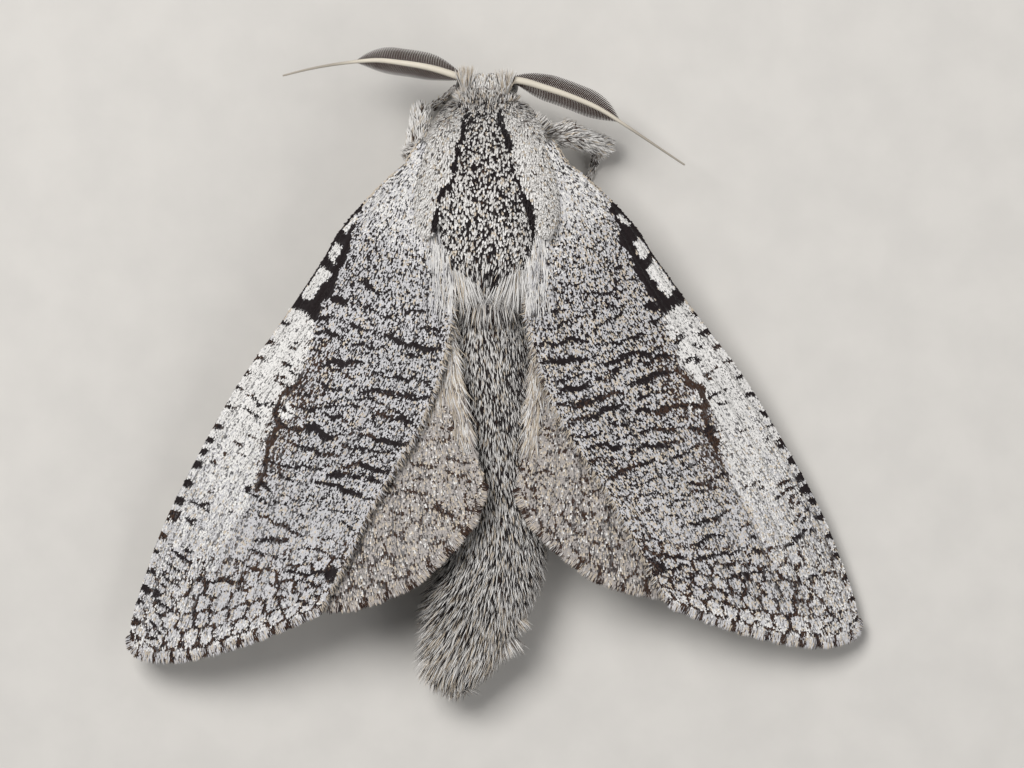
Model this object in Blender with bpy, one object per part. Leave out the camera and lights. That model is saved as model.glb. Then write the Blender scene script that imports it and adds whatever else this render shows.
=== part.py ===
"""A male wood moth, Endoxyla secta, resting with its wings spread as a low roof, at life size.

Sizes are in millimetres, and add_mesh turns them into metres. +X is the moth's right, +Y is
where its head points and +Z is up. The body's own measures count from the middle of the body,
and at the end the whole moth is moved so that its bounding box stands centred on the origin.
"""

import math
import random

import bmesh
import bpy
from mathutils import Matrix, Vector

MM = 0.001
GAP = 0.3  # clearance between neighbouring pieces
SIDES = {"left": -1, "right": 1}

# Thorax stations along the body: y, half width, top and bottom height.
THORAX = [
    (15.75, 1.75, 6.90, 3.40),
    (15.3, 2.50, 7.40, 2.90),
    (14.6, 3.10, 7.95, 2.40),
    (13.8, 3.50, 8.40, 2.10),
    (12.6, 3.85, 8.85, 1.90),
    (11.0, 4.00, 9.20, 1.75),
    (9.0, 3.95, 9.35, 1.70),
    (7.0, 3.60, 9.05, 1.80),
    (5.4, 3.10, 8.30, 2.20),
    (4.0, 2.65, 7.40, 2.65),
]
# Head stations: y, half width, top and bottom height.
HEAD = [
    (17.35, 0.55, 5.20, 4.00),
    (17.1, 1.00, 5.80, 3.55),
    (16.7, 1.40, 6.30, 3.25),
    (16.3, 1.62, 6.60, 3.20),
    (16.05, 1.70, 6.70, 3.30),
]
# Abdomen stations: y, x of the middle, height of the middle, half width, half height.
ABDOMEN = [
    (3.7, 0.0, 5.02, 2.65, 2.37),
    (1.0, 0.0, 4.60, 2.80, 2.35),
    (-2.0, 0.1, 4.15, 2.95, 2.35),
    (-6.0, 0.3, 3.75, 3.10, 2.40),
    (-9.8, 0.2, 3.50, 2.95, 2.25),
    (-12.0, -0.45, 3.30, 2.65, 2.05),
    (-14.2, -1.10, 3.00, 2.15, 1.65),
    (-15.8, -1.75, 2.75, 1.45, 1.20),
    (-16.7, -2.05, 2.65, 0.80, 0.75),
]
BODY_SIDES = 18

EYE_PLACE = (1.02, 16.5, 4.2)
EYE_RADIUS = 0.72
# Palp, from its root below the face to its tip, with x counted outwards.
PALP_JOINTS = [(0.42, 16.4, 2.95), (0.42, 16.75, 2.6), (0.42, 17.0, 3.0)]
PALP_RADII = [(0.34, 0.36), (0.34, 0.24)]  # at the two ends of each length

# Tegula, the flap over each forewing's root: middle, half sizes, outward lean, and its front
# end turned in towards the neck and down.
TEGULA_PLACE = (2.80, 11.3, 7.75)
TEGULA_HALF = (1.55, 3.6, 0.75)
TEGULA_LEAN = math.radians(40)
TEGULA_TOE = math.radians(9)
TEGULA_DIP = math.radians(8)

# Antenna routes from the head outwards: x, y, z, with x counted outwards.
ANTENNA_ROUTE = {
    "left": [
        (0.7, 16.6, 5.6), (1.7, 17.0, 5.9), (3.15, 17.45, 5.8), (4.8, 17.75, 5.5),
        (6.2, 17.9, 5.2), (8.15, 17.75, 4.7), (9.8, 17.5, 4.2), (11.35, 17.15, 3.8),
    ],
    "right": [
        (0.7, 16.5, 5.6), (1.6, 16.75, 5.9), (3.2, 16.35, 5.8), (4.85, 15.8, 5.5),
        (6.25, 15.2, 5.2), (7.65, 14.35, 4.7), (9.05, 13.45, 4.2), (11.0, 12.2, 3.5),
    ],
}
ANTENNA_RADIUS = (0.27, 0.26, 0.12)  # at the root, where the comb ends, and at the tip
ANTENNA_RINGS = 18
COMB_END = 0.60  # share of the antenna that carries a comb
COMB_START = 1.7
COMB_PITCH = 0.62
TOOTH_LENGTH = 0.85
TOOTH_ROOT = 0.27
TOOTH_WIDTH = 0.44
TOOTH_THICKNESS = 0.34
TOOTH_BEND = 0.08
TOOTH_LIE = (0.85, 0.25, -0.5)  # outwards, towards the antenna's tip, and up
# Teeth grow to full length over the first stretch of the comb and shorten over the last one.
COMB_RISE = 2.6
COMB_FALL = 2.2
LAST_TOOTH = 0.35

# Wing outlines in each wing's own plane: distance out from the hinge, and offset towards the
# leading edge. Each starts at the hinge, and the outer margin runs from apex to hind corner.
FOREWING = {
    "front": [
        (0, 1.0), (2.4, 1.85), (5.2, 2.45), (7.0, 2.45), (11.0, 2.75), (15.5, 3.2), (20.1, 3.15),
        (24.4, 2.85), (27.6, 2.2), (29.8, 1.6), (31.2, 0.9),
    ],
    "outer": [(31.2, 0.9), (31.6, 0.2), (31.1, -1.2), (29.95, -2.75), (27.9, -4.65), (25.9, -6.2),
              (23.7, -7.7)],
    "hind": [(0, -1.0), (2.5, -3.6), (6.1, -6.0), (11.4, -7.3), (16.5, -7.3), (20.5, -7.6),
             (23.7, -7.7)],
    "veins": [0.07, 0.17, 0.28, 0.39, 0.50, 0.61, 0.72, 0.83, 0.93],
    "forks": [0.0, 0.0, 0.35, 0.50, 0.50, 0.50, 0.35, 0.0, 0.0],
    "stations": 12,
}
HINDWING = {
    "front": [(0, 0.8), (5.0, 2.2), (11.5, 4.1), (18.0, 5.6), (20.8, 5.6)],
    "outer": [(20.8, 5.6), (22.5, 4.2), (22.75, 2.1), (21.0, -1.4), (19.7, -2.65), (16.9, -4.5),
              (14.6, -5.0)],
    "hind": [(0, -0.8), (3.5, -1.2), (6.3, -1.9), (8.9, -2.75), (11.8, -3.8), (14.6, -5.0)],
    "veins": [0.10, 0.24, 0.38, 0.52, 0.66, 0.80, 0.92],
    "forks": [0.0, 0.40, 0.40, 0.50, 0.40, 0.0, 0.0],
    "stations": 9,
}
WING_THICKNESS = 0.55
VEIN_HEIGHT = 0.16
VEIN_HALF_WIDTH = 0.24
# The roof that both wings of a side lie in: hinge, droop to the tip and roll to the costa.
ROOF_HINGE = (3.75, 11.6, 7.4)
ROOF_SWEEP = {"left": math.radians(30.6), "right": math.radians(32.9)}
ROOF_DROOP = {"left": math.radians(7.5), "right": math.radians(10)}
ROOF_ROLL = math.radians(17)
COSTA_CAMBER = 0.03
INNER_CAMBER = 0.009
TIP_CAMBER = 0.0005
CAMBER_LINE = -2.0
# The hindwing in the roof's plane: hinge, turn towards the body, and depth below the forewing.
HINDWING_HINGE = (1.3, -1.8)
HINDWING_TURN = {"left": math.radians(22.5), "right": math.radians(19.3)}
HINDWING_DROP = WING_THICKNESS + GAP + 0.08

# Legs: hip, knee, ankle, ball and toe, with x counted outwards.
MIDLEG = [(1.3, 10.4, 2.8), (5.0, 8.6, 3.5), (6.6, 6.2, 1.4), (7.5, 4.6, 0.24), (8.3, 3.2, 0.24)]
HINDLEG = [(1.3, 7.0, 2.9), (4.9, 2.6, 3.3), (6.0, -2.4, 1.3), (6.7, -5.0, 0.24), (7.4, -6.9, 0.24)]
LEG_JOINTS = {
    "foreleg_left": [
        (1.2, 13.4, 3.0), (3.9, 12.9, 4.1), (3.7, 15.1, 2.1), (2.7, 15.9, 0.24), (1.7, 16.8, 0.24),
    ],
    "foreleg_right": [
        (1.2, 13.4, 3.0), (4.4, 13.9, 3.6), (6.4, 13.4, 1.7), (6.0, 12.3, 0.24), (5.5, 11.1, 0.24),
    ],
    "midleg_left": MIDLEG,
    "midleg_right": MIDLEG,
    "hindleg_left": HINDLEG,
    "hindleg_right": HINDLEG,
}
LEG_RADII = [(0.62, 0.66), (0.60, 0.46), (0.40, 0.34), (0.35, 0.30)]
FORELEG_RADII = [(0.66, 0.76), (0.76, 0.62), (0.42, 0.34), (0.35, 0.30)]
FLOOR_REACH = 60

# A lock's outline: share of its length, of its width and of its thickness.
LOCK_PROFILE = ((0.0, 0.75, 0.9), (0.35, 1.0, 1.0), (0.72, 0.72, 0.75))
LOCK_BEND = 0.12
# Pale tufts behind the thorax: root and lie of the one next to the middle and of the outer one.
TUFTS_A_SIDE = 5
TUFT_ROOTS = (Vector((0.45, 5.6, 7.75)), Vector((1.80, 5.25, 7.45)))
TUFT_LIES = (Vector((-0.04, -1, -0.10)), Vector((-0.20, -1, -0.10)))
TUFT_LEAN = 0.25
TUFT_LENGTH = 2.35
TUFT_WIDTH = 0.80
TUFT_THICKNESS = 0.55
# Brow tuft between the antennae, and the tufts at each antenna's root.
BROW_TUFTS = 5
BROW_ROOT = (0.9, 16.45, 6.1)  # of the outermost
BROW_LIE = (0.22, 1, 0.25)  # of the outermost
BROW_LENGTH = 1.0
BROW_WIDTH = 0.62
BROW_THICKNESS = 0.5
SCAPE_ROOTS = ((1.05, 16.35, 6.1), (1.30, 16.35, 6.1))
SCAPE_LIES = ((0.1, 1, 0.55), (0.4, 1, 0.55))
SCAPE_LENGTH = 1.35
SCAPE_WIDTH = 0.6
SCAPE_BEND = 0.05
# Locks of the abdomen's coat.
COAT_SEED = 7
LOCK_ROWS = (-6.4, -8.4, -10.2, -11.7, -13.1, -14.3, -15.3)
LOCKS_ROUND = 10
LOCK_LENGTH = 2.4
LOCK_WIDTH = 1.25
LOCK_THICKNESS = 0.55
LOCK_ROOT = 0.35
LOCK_LIFT = 0.33
FLANK_ROWS = (-12.2, -12.9, -13.6, -14.1)
FLANK_LIFT = 0.75
FLANK_LENGTH = 1.7
FLANK_WIDTH = 0.7
FLANK_TURN = math.radians(-18)  # of the first, and the step from each to the next
FLANK_TURN_STEP = math.radians(16)
END_TUFT_ROOT = -16.1
END_LOCKS = 8
END_WIDTH = 0.8
END_LIE = Vector((-0.16, -1, -0.04))
END_SPREAD = 0.14
END_ROOT_SHARE = 0.55
ABDOMEN_TIP = Vector((-0.15, -0.45, -0.05))  # from the last oval's middle
TRUNK_FULLNESS = 0.92
ABDOMEN_FULLNESS = 0.95


def hermite(rows, key):
    """The values of rows, a table sorted by its first column, smoothly read at key."""
    rising = rows[-1][0] > rows[0][0]
    table = rows if rising else rows[::-1]
    last = len(table) - 1
    at = min(max(key, table[0][0]), table[-1][0])
    i = max(k for k in range(last) if table[k][0] <= at or k == 0)
    span = table[i + 1][0] - table[i][0]
    u = (at - table[i][0]) / span
    values = []
    for column in range(1, len(table[0])):
        def slope(k):
            low, high = max(k - 1, 0), min(k + 1, last)
            return (table[high][column] - table[low][column]) / (table[high][0] - table[low][0])

        a, b = table[i][column], table[i + 1][column]
        values.append(
            a * (1 + 2 * u) * (1 - u) ** 2 + b * u * u * (3 - 2 * u)
            + span * (slope(i) * u * (1 - u) ** 2 - slope(i + 1) * u * u * (1 - u))
        )
    return values


def along(points, share):
    """The point at a share of a smooth curve's length through points."""
    reach = [0.0]
    for a, b in zip(points, points[1:]):
        reach.append(reach[-1] + (Vector(b) - Vector(a)).length)
    rows = [(r / reach[-1], *p) for r, p in zip(reach, points)]
    return Vector(hermite(rows, share))


def finish(name, principled):
    """A plain material: base colour, roughness."""
    colour, roughness = principled
    material = bpy.data.materials.new(name)
    material.use_nodes = True
    shader = material.node_tree.nodes["Principled BSDF"]
    shader.inputs["Base Color"].default_value = (*colour, 1)
    shader.inputs["Roughness"].default_value = roughness
    shader.inputs["Metallic"].default_value = 0
    return material


FINISHES = {
    "forewing_scales": ((0.42, 0.40, 0.38), 0.85),
    "hindwing_scales": ((0.38, 0.33, 0.27), 0.85),
    "body_coat": ((0.40, 0.38, 0.35), 0.9),
    "compound_eye": ((0.03, 0.02, 0.015), 0.25),
    "antenna_scales": ((0.45, 0.42, 0.38), 0.8),
    "leg_scales": ((0.34, 0.33, 0.32), 0.85),
}


def add_mesh(name, points, faces, smooth=True):
    """A mesh object from points in millimetres, with its faces turned outwards."""
    mesh = bpy.data.meshes.new(name)
    mesh.from_pydata([Vector(p) * MM for p in points], [], faces)
    form = bmesh.new()
    form.from_mesh(mesh)
    bmesh.ops.recalc_face_normals(form, faces=form.faces)
    form.to_mesh(mesh)
    form.free()
    if smooth:
        mesh.shade_smooth()
    obj = bpy.data.objects.new(name, mesh)
    bpy.context.scene.collection.objects.link(obj)
    return obj


def loft(name, rings, tip=None):
    """Skin over rings of points, closed by a fan at the start and by a fan or a tip at the end."""
    sides = len(rings[0])
    points = [p for ring in rings for p in ring]
    faces = []
    for i in range(len(rings) - 1):
        for k in range(sides):
            a, b = i * sides + k, i * sides + (k + 1) % sides
            faces.append((a, b, b + sides, a + sides))
    start = len(points)
    points.append(sum(rings[0], Vector()) / sides)
    points.append(tip if tip is not None else sum(rings[-1], Vector()) / sides)
    last = (len(rings) - 1) * sides
    for k in range(sides):
        faces.append((start, (k + 1) % sides, k))
        faces.append((start + 1, last + k, last + (k + 1) % sides))
    return add_mesh(name, points, faces)


def oval(middle, ahead, half_width, half_height, sides, fullness=1.0):
    """A ring of points round middle, square to the direction ahead. Fullness under 1 squares it."""
    ahead = Vector(ahead).normalized()
    right = ahead.cross(Vector((0, 0, 1))).normalized()
    up = right.cross(ahead)
    ring = []
    for k in range(sides):
        turn = math.tau * k / sides
        c, s = math.cos(turn), math.sin(turn)
        x = math.copysign(abs(c) ** fullness, c) * half_width
        z = math.copysign(abs(s) ** fullness, s) * half_height
        ring.append(Vector(middle) + right * x + up * z)
    return ring


def straight_body(name, stations, rings, grow=0.0):
    """Head or thorax: ovals across the body's length. Grow makes it larger all round."""
    first, last = stations[0][0] + grow, stations[-1][0] - grow
    made = []
    for i in range(rings):
        y = first + (last - first) * i / (rings - 1)
        width, top, bottom = hermite(stations, y)
        middle = (0, y, (top + bottom) / 2)
        made.append(oval(middle, (0, -1, 0), width + grow, (top - bottom) / 2 + grow, BODY_SIDES,
                         TRUNK_FULLNESS))
    return loft(name, made)


def abdomen_at(y):
    """Middle, half width and half height of the abdomen at y."""
    x, z, width, height = hermite(ABDOMEN, y)
    return Vector((x, y, z)), width, height


def curved_body(name, rings, grow=0.0):
    """Abdomen: ovals square to its bent middle line."""
    first, last = ABDOMEN[0][0] + grow, ABDOMEN[-1][0] - grow
    made = []
    for i in range(rings):
        y = first + (last - first) * i / (rings - 1)
        middle, width, height = abdomen_at(y)
        ahead = abdomen_at(y - 0.4)[0] - abdomen_at(y + 0.4)[0]
        if i == 0:
            ahead = Vector((0, -1, 0))
        middle.y = y
        made.append(oval(middle, ahead, width + grow, height + grow, BODY_SIDES, ABDOMEN_FULLNESS))
    tip = abdomen_at(last)[0] + ABDOMEN_TIP - Vector((0, grow, 0))
    return loft(name, made, tip)


def ball(name, middle, half_sizes, turn=None, segments=14, rings=8):
    """An ellipsoid, turned by a matrix if one is given."""
    form = bmesh.new()
    bmesh.ops.create_uvsphere(form, u_segments=segments, v_segments=rings, radius=1)
    shape = Matrix.Diagonal((*half_sizes, 1))
    place = Matrix.Translation(middle) @ (turn or Matrix.Identity(4)) @ shape
    points = [place @ v.co for v in form.verts]
    faces = [[v.index for v in f.verts] for f in form.faces]
    form.free()
    return add_mesh(name, points, faces)


def rod(name, a, b, radius_a, radius_b, sides=8):
    """A tapered length of limb with rounded ends."""
    a, b = Vector(a), Vector(b)
    ahead = (b - a).normalized()
    rings = []
    for angle in (-60, -25):
        lean = math.radians(angle)
        rings.append(oval(a + ahead * radius_a * math.sin(lean), ahead, radius_a * math.cos(lean),
                          radius_a * math.cos(lean), sides))
    for angle in (25, 60):
        lean = math.radians(angle)
        rings.append(oval(b + ahead * radius_b * math.sin(lean), ahead, radius_b * math.cos(lean),
                          radius_b * math.cos(lean), sides))
    return loft(name, rings)


def lock(name, root, ahead, outward, length, width, thickness, bend):
    """A flat tapered lock of hair scales from root, which bends back towards the coat."""
    ahead = Vector(ahead).normalized()
    outward = (Vector(outward) - ahead * Vector(outward).dot(ahead)).normalized()
    across = ahead.cross(outward)
    rings = []
    for share, wide, thick in LOCK_PROFILE:
        middle = Vector(root) + ahead * length * share - outward * bend * share * share
        half_w, half_t = across * width * wide / 2, outward * thickness * thick / 2
        rings.append([middle - half_w, middle + half_t, middle + half_w, middle - half_t])
    return loft(name, rings, Vector(root) + ahead * length - outward * bend)


def camber(out, forward):
    """Height of the wing roof over its plane: bent down at the costa and towards the tip."""
    beyond = forward - CAMBER_LINE
    steep = COSTA_CAMBER if beyond > 0 else INNER_CAMBER
    return -steep * beyond * beyond - TIP_CAMBER * out * out


def wing_outline_point(wing, share, across):
    """A place in the wing's plane: share runs hinge to margin, across runs front to hind edge."""
    front, hind = along(wing["front"], share), along(wing["hind"], share)
    corner_a, corner_b = Vector(wing["front"][-1]), Vector(wing["hind"][-1])
    margin = along(wing["outer"], across)
    bulge = margin - corner_a.lerp(corner_b, across)
    return front.lerp(hind, across) + bulge * share**2.5


def wing_rays(wing, share):
    """The shares across the wing where rays run at this share of its length, and their lift.

    Each vein has a crest and a foot on either side. A forked vein rises only past its fork.
    """
    front, hind = along(wing["front"], share), along(wing["hind"], share)
    chord = max((front - hind).length, 0.5)
    room = min(b - a for a, b in zip(wing["veins"], wing["veins"][1:]))
    foot = min(VEIN_HALF_WIDTH / chord, room * 0.3)
    rays = [(0.0, VEIN_HEIGHT * 0.5)]
    for vein, fork in zip(wing["veins"], wing["forks"]):
        rise = min(max((share - fork) / 0.12, 0.0), 1.0)
        foot_here = min(foot, vein * 0.45, (1 - vein) * 0.45)
        rays += [(vein - foot_here, 0.0), (vein, VEIN_HEIGHT * rise), (vein + foot_here, 0.0)]
    return rays + [(1.0, 0.0)]


def wing_mesh(name, wing, side, hinge=(0, 0), turn=0.0, drop=0.0):
    """A wing membrane with raised veins, in the frame of its side's roof.

    Both faces are split into the same triangles. Hinge, turn and drop place a hindwing there.
    """
    cos_turn, sin_turn = math.cos(turn), math.sin(turn)
    upper, lower = [], []
    for j in range(wing["stations"] + 1):
        share = (j / wing["stations"]) ** 0.9
        for across, lift in wing_rays(wing, share):
            out, forward = wing_outline_point(wing, share, across)
            x = hinge[0] + out * cos_turn + forward * sin_turn
            y = hinge[1] - out * sin_turn + forward * cos_turn
            height = camber(x, y) - drop
            y *= SIDES[side]
            upper.append(Vector((x, y, height + WING_THICKNESS / 2 + lift)))
            lower.append(Vector((x, y, height - WING_THICKNESS / 2)))
    rays = len(wing_rays(wing, 0.5))
    faces, under = [], len(upper)
    for j in range(wing["stations"]):
        for k in range(rays - 1):
            a, b = j * rays + k, j * rays + k + 1
            c, d = b + rays, a + rays
            for face in ((a, b, c), (a, c, d)):
                faces.append(face)
                faces.append(tuple(under + v for v in reversed(face)))
    rim = list(range(rays))
    rim += [j * rays + rays - 1 for j in range(1, wing["stations"] + 1)]
    rim += [wing["stations"] * rays + k for k in range(rays - 2, -1, -1)]
    rim += [j * rays for j in range(wing["stations"] - 1, 0, -1)]
    for a, b in zip(rim, rim[1:] + rim[:1]):
        faces += [(a, under + a, b), (b, under + a, under + b)]
    return add_mesh(name, upper + lower, faces, smooth=False)


def roof_matrix(side):
    """Where the wing roof of a side is: its hinge, turned back, drooping and rolled."""
    sign = SIDES[side]
    x, y, z = ROOF_HINGE
    yaw = -math.pi / 2 + sign * ROOF_SWEEP[side]
    turn = (
        Matrix.Rotation(yaw, 4, "Z")
        @ Matrix.Rotation(ROOF_DROOP[side], 4, "Y")
        @ Matrix.Rotation(-sign * ROOF_ROLL, 4, "X")
    )
    return Matrix.Translation(Vector((sign * x, y, z)) * MM) @ turn


def largest_surface(mesh):
    """Keeps only the mesh's largest closed surface."""
    form = bmesh.new()
    form.from_mesh(mesh)
    form.faces.ensure_lookup_table()
    unseen, shells = set(form.faces), []
    while unseen:
        front = [unseen.pop()]
        shell = set(front)
        while front:
            for edge in front.pop().edges:
                for face in edge.link_faces:
                    if face in unseen:
                        unseen.discard(face)
                        shell.add(face)
                        front.append(face)
        shells.append(shell)
    size = [sum(f.calc_area() for f in shell) for shell in shells]
    keep = shells[size.index(max(size))]
    bmesh.ops.delete(form, geom=[f for f in form.faces if f not in keep], context="FACES")
    form.to_mesh(mesh)
    form.free()


def combine(base, others, operation):
    """Joins the others to base, or cuts them from it, and keeps one closed surface."""
    if not others:
        return base
    group = bpy.data.collections.new(base.name + "_pieces")
    for other in others:
        group.objects.link(other)
    modifier = base.modifiers.new(operation.lower(), "BOOLEAN")
    modifier.operand_type = "COLLECTION"
    modifier.collection = group
    modifier.operation = operation
    modifier.solver = "EXACT"
    bpy.context.view_layer.update()
    shape = bpy.data.meshes.new_from_object(base.evaluated_get(bpy.context.evaluated_depsgraph_get()))
    base.modifiers.clear()
    base.data = shape
    bpy.data.collections.remove(group)
    if operation == "UNION":
        for other in others:
            bpy.data.objects.remove(other)
    largest_surface(shape)
    return base


def cut_clear(node, cutters):
    """Cuts a node clear of its grown neighbours, one after the other."""
    for cutter in cutters:
        combine(node, [cutter], "DIFFERENCE")
    return node


def as_cutter(obj):
    """Marks a helper that only cuts: it is no node."""
    obj.hide_render = True
    obj.display_type = "WIRE"
    return obj


def tegula(name, side, grow=0.0):
    """The flap of scales that covers a forewing's root."""
    sign = SIDES[side]
    x, y, z = TEGULA_PLACE
    turn = (
        Matrix.Rotation(sign * TEGULA_TOE, 4, "Z")
        @ Matrix.Rotation(-TEGULA_DIP, 4, "X")
        @ Matrix.Rotation(sign * TEGULA_LEAN, 4, "Y")
    )
    half = [h + grow for h in TEGULA_HALF]
    return ball(name, (sign * x, y, z), half, turn, 16, 10)


def thorax_locks():
    """The pale tufts behind the thorax, which sweep back and towards the middle."""
    chance = random.Random(COAT_SEED)
    locks = []
    for side, sign in SIDES.items():
        for k in range(TUFTS_A_SIDE):
            share = k / (TUFTS_A_SIDE - 1)
            root = TUFT_ROOTS[0].lerp(TUFT_ROOTS[1], share) * Vector((sign, 1, 1))
            ahead = TUFT_LIES[0].lerp(TUFT_LIES[1], share) * Vector((sign, 1, 1))
            length = TUFT_LENGTH + chance.uniform(-0.2, 0.2)
            locks.append(lock(f"tuft_{side}_{k}", root, ahead, (sign * TUFT_LEAN * share, 0, 1),
                              length, TUFT_WIDTH, TUFT_THICKNESS, LOCK_BEND))
    return locks


def build_thorax():
    body = straight_body("thorax", THORAX, 13)
    flaps = [tegula(f"flap_{side}", side) for side in SIDES]
    return combine(body, flaps + thorax_locks(), "UNION")


def head_locks():
    """The brow tuft between the antennae and a tuft at each antenna's root."""
    locks = []
    for k in range(BROW_TUFTS):
        across = Vector((2 * k / (BROW_TUFTS - 1) - 1, 1, 1))
        locks.append(lock(f"brow_{k}", Vector(BROW_ROOT) * across, Vector(BROW_LIE) * across,
                          (0, -0.2, 1), BROW_LENGTH, BROW_WIDTH, BROW_THICKNESS, LOCK_BEND))
    for side, sign in SIDES.items():
        for k, (root, lie) in enumerate(zip(SCAPE_ROOTS, SCAPE_LIES)):
            flip = Vector((sign, 1, 1))
            locks.append(lock(f"scape_{side}_{k}", Vector(root) * flip, Vector(lie) * flip,
                              (0, -0.4, 1), SCAPE_LENGTH, SCAPE_WIDTH, BROW_THICKNESS, SCAPE_BEND))
    return locks


def build_head():
    skull = straight_body("head", HEAD, 8)
    combine(skull, head_locks(), "UNION")
    sockets = []
    for side, sign in SIDES.items():
        x, y, z = EYE_PLACE
        socket = ball(f"socket_{side}", (sign * x, y, z), [EYE_RADIUS + GAP] * 3)
        sockets.append(as_cutter(socket))
    combine(skull, sockets, "DIFFERENCE")
    return skull


def build_eye(side):
    x, y, z = EYE_PLACE
    return ball(f"eye_{side}", (SIDES[side] * x, y, z), [EYE_RADIUS] * 3)


def build_palp(side):
    """A short scaled palp that rises in front of the face."""
    sign = SIDES[side]
    places = [(sign * x, y, z) for x, y, z in PALP_JOINTS]
    base = rod(f"palp_{side}", places[0], places[1], *PALP_RADII[0])
    tip = rod(f"palp_tip_{side}", places[1], places[2], *PALP_RADII[1])
    return combine(base, [tip], "UNION")


def build_antenna(side):
    """A tapering shaft with a comb of teeth on both sides of its inner part."""
    sign = SIDES[side]
    route = [(sign * x, y, z) for x, y, z in ANTENNA_ROUTE[side]]
    rings = []
    root_radius, comb_radius, tip_radius = ANTENNA_RADIUS
    radius_rows = [(0.0, root_radius), (COMB_END, comb_radius), (1.0, tip_radius)]
    for i in range(ANTENNA_RINGS):
        share = i / ANTENNA_RINGS
        place = along(route, share)
        ahead = along(route, min(share + 0.02, 1)) - along(route, max(share - 0.02, 0))
        radius = hermite(radius_rows, share)[0]
        rings.append(oval(place, ahead, radius, radius, 8))
    shaft = loft(f"antenna_{side}", rings, along(route, 1.0))
    length = sum((Vector(b) - Vector(a)).length for a, b in zip(route, route[1:]))
    teeth, reach = [], COMB_START
    outwards, forwards, upwards = TOOTH_LIE
    while reach < COMB_END * length:
        share = reach / length
        place = along(route, share)
        ahead = (along(route, share + 0.02) - along(route, share - 0.02)).normalized()
        beside = ahead.cross(Vector((0, 0, 1))).normalized()
        left_over = COMB_END * length - reach
        fade = min(1.0, left_over / COMB_FALL + LAST_TOOTH) * min(1.0, reach / COMB_RISE)
        for face in (-1, 1):
            lie = beside * face * outwards + ahead * forwards + Vector((0, 0, upwards))
            over = beside * face * -upwards + Vector((0, 0, outwards))
            teeth.append(lock(f"tooth_{side}_{len(teeth)}", place, lie, over,
                              TOOTH_ROOT + TOOTH_LENGTH * fade, TOOTH_WIDTH, TOOTH_THICKNESS,
                              TOOTH_BEND))
        reach += COMB_PITCH
    return combine(shaft, teeth, "UNION")


def abdomen_lock(name, y, turn, lift, length, width):
    """A lock rooted in the abdomen at y, at a turn round it, and lifted off its lie."""
    middle, half_width, half_height = abdomen_at(y)
    outward = Vector((math.cos(turn), 0, math.sin(turn)))
    reach = Vector((outward.x * (half_width - LOCK_ROOT), 0, outward.z * (half_height - LOCK_ROOT)))
    behind, behind_width, behind_height = abdomen_at(max(y - 1, ABDOMEN[-1][0]))
    narrowing = Vector((
        outward.x * (behind_width - half_width), 0, outward.z * (behind_height - half_height)
    ))
    ahead = (behind - middle + narrowing).normalized() + outward * lift
    return lock(name, middle + reach, ahead, outward, length, width, LOCK_THICKNESS, LOCK_BEND)


def abdomen_locks():
    """Rows of overlapping locks on the abdomen's hind half, its messy flank and its end tuft."""
    chance = random.Random(COAT_SEED)
    locks = []
    for row, y in enumerate(LOCK_ROWS):
        count = LOCKS_ROUND - row // 2
        for k in range(count):
            turn = math.tau * (k + 0.5 * (row % 2)) / count
            length = LOCK_LENGTH + chance.uniform(-0.2, 0.25)
            lift = LOCK_LIFT + chance.uniform(-0.05, 0.1)
            locks.append(abdomen_lock(f"lock_{row}_{k}", y, turn, lift, length, LOCK_WIDTH))
    for k, y in enumerate(FLANK_ROWS):
        turn = FLANK_TURN + FLANK_TURN_STEP * k
        locks.append(abdomen_lock(f"flank_{k}", y, turn, FLANK_LIFT, FLANK_LENGTH, FLANK_WIDTH))
    end, half_width, half_height = abdomen_at(END_TUFT_ROOT)
    for k in range(END_LOCKS):
        turn = math.tau * k / END_LOCKS
        outward = Vector((math.cos(turn), 0, math.sin(turn)))
        root = end + Vector((outward.x * half_width, 0, outward.z * half_height)) * END_ROOT_SHARE
        length = LOCK_LENGTH + chance.uniform(-0.25, 0.2)
        ahead = END_LIE + outward * END_SPREAD
        locks.append(lock(f"end_{k}", root, ahead, outward, length, END_WIDTH, LOCK_THICKNESS, LOCK_BEND))
    return locks


def build_abdomen():
    body = curved_body("abdomen", 17)
    return combine(body, abdomen_locks(), "UNION")


def build_leg(name):
    """Femur, shin, tarsus and foot, with the foot's sole flat on the floor."""
    sign = SIDES[name.split("_")[1]]
    joints = [(sign * x, y, z) for x, y, z in LEG_JOINTS[name]]
    parts = []
    radii = FORELEG_RADII if "foreleg" in name else LEG_RADII
    for k, (radius_a, radius_b) in enumerate(radii):
        parts.append(rod(f"{name}_{k}", joints[k], joints[k + 1], radius_a, radius_b))
    leg = combine(parts[0], parts[1:], "UNION")
    leg.name = name
    return leg


def build_wings(side, roof):
    """Forewing and hindwing of a side, both hung on the side's roof."""
    fore = wing_mesh(f"forewing_{side}", FOREWING, side)
    hind = wing_mesh(f"hindwing_{side}", HINDWING, side, HINDWING_HINGE, HINDWING_TURN[side],
                     HINDWING_DROP)
    for wing in (fore, hind):
        wing.parent = roof
    return fore, hind


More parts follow.
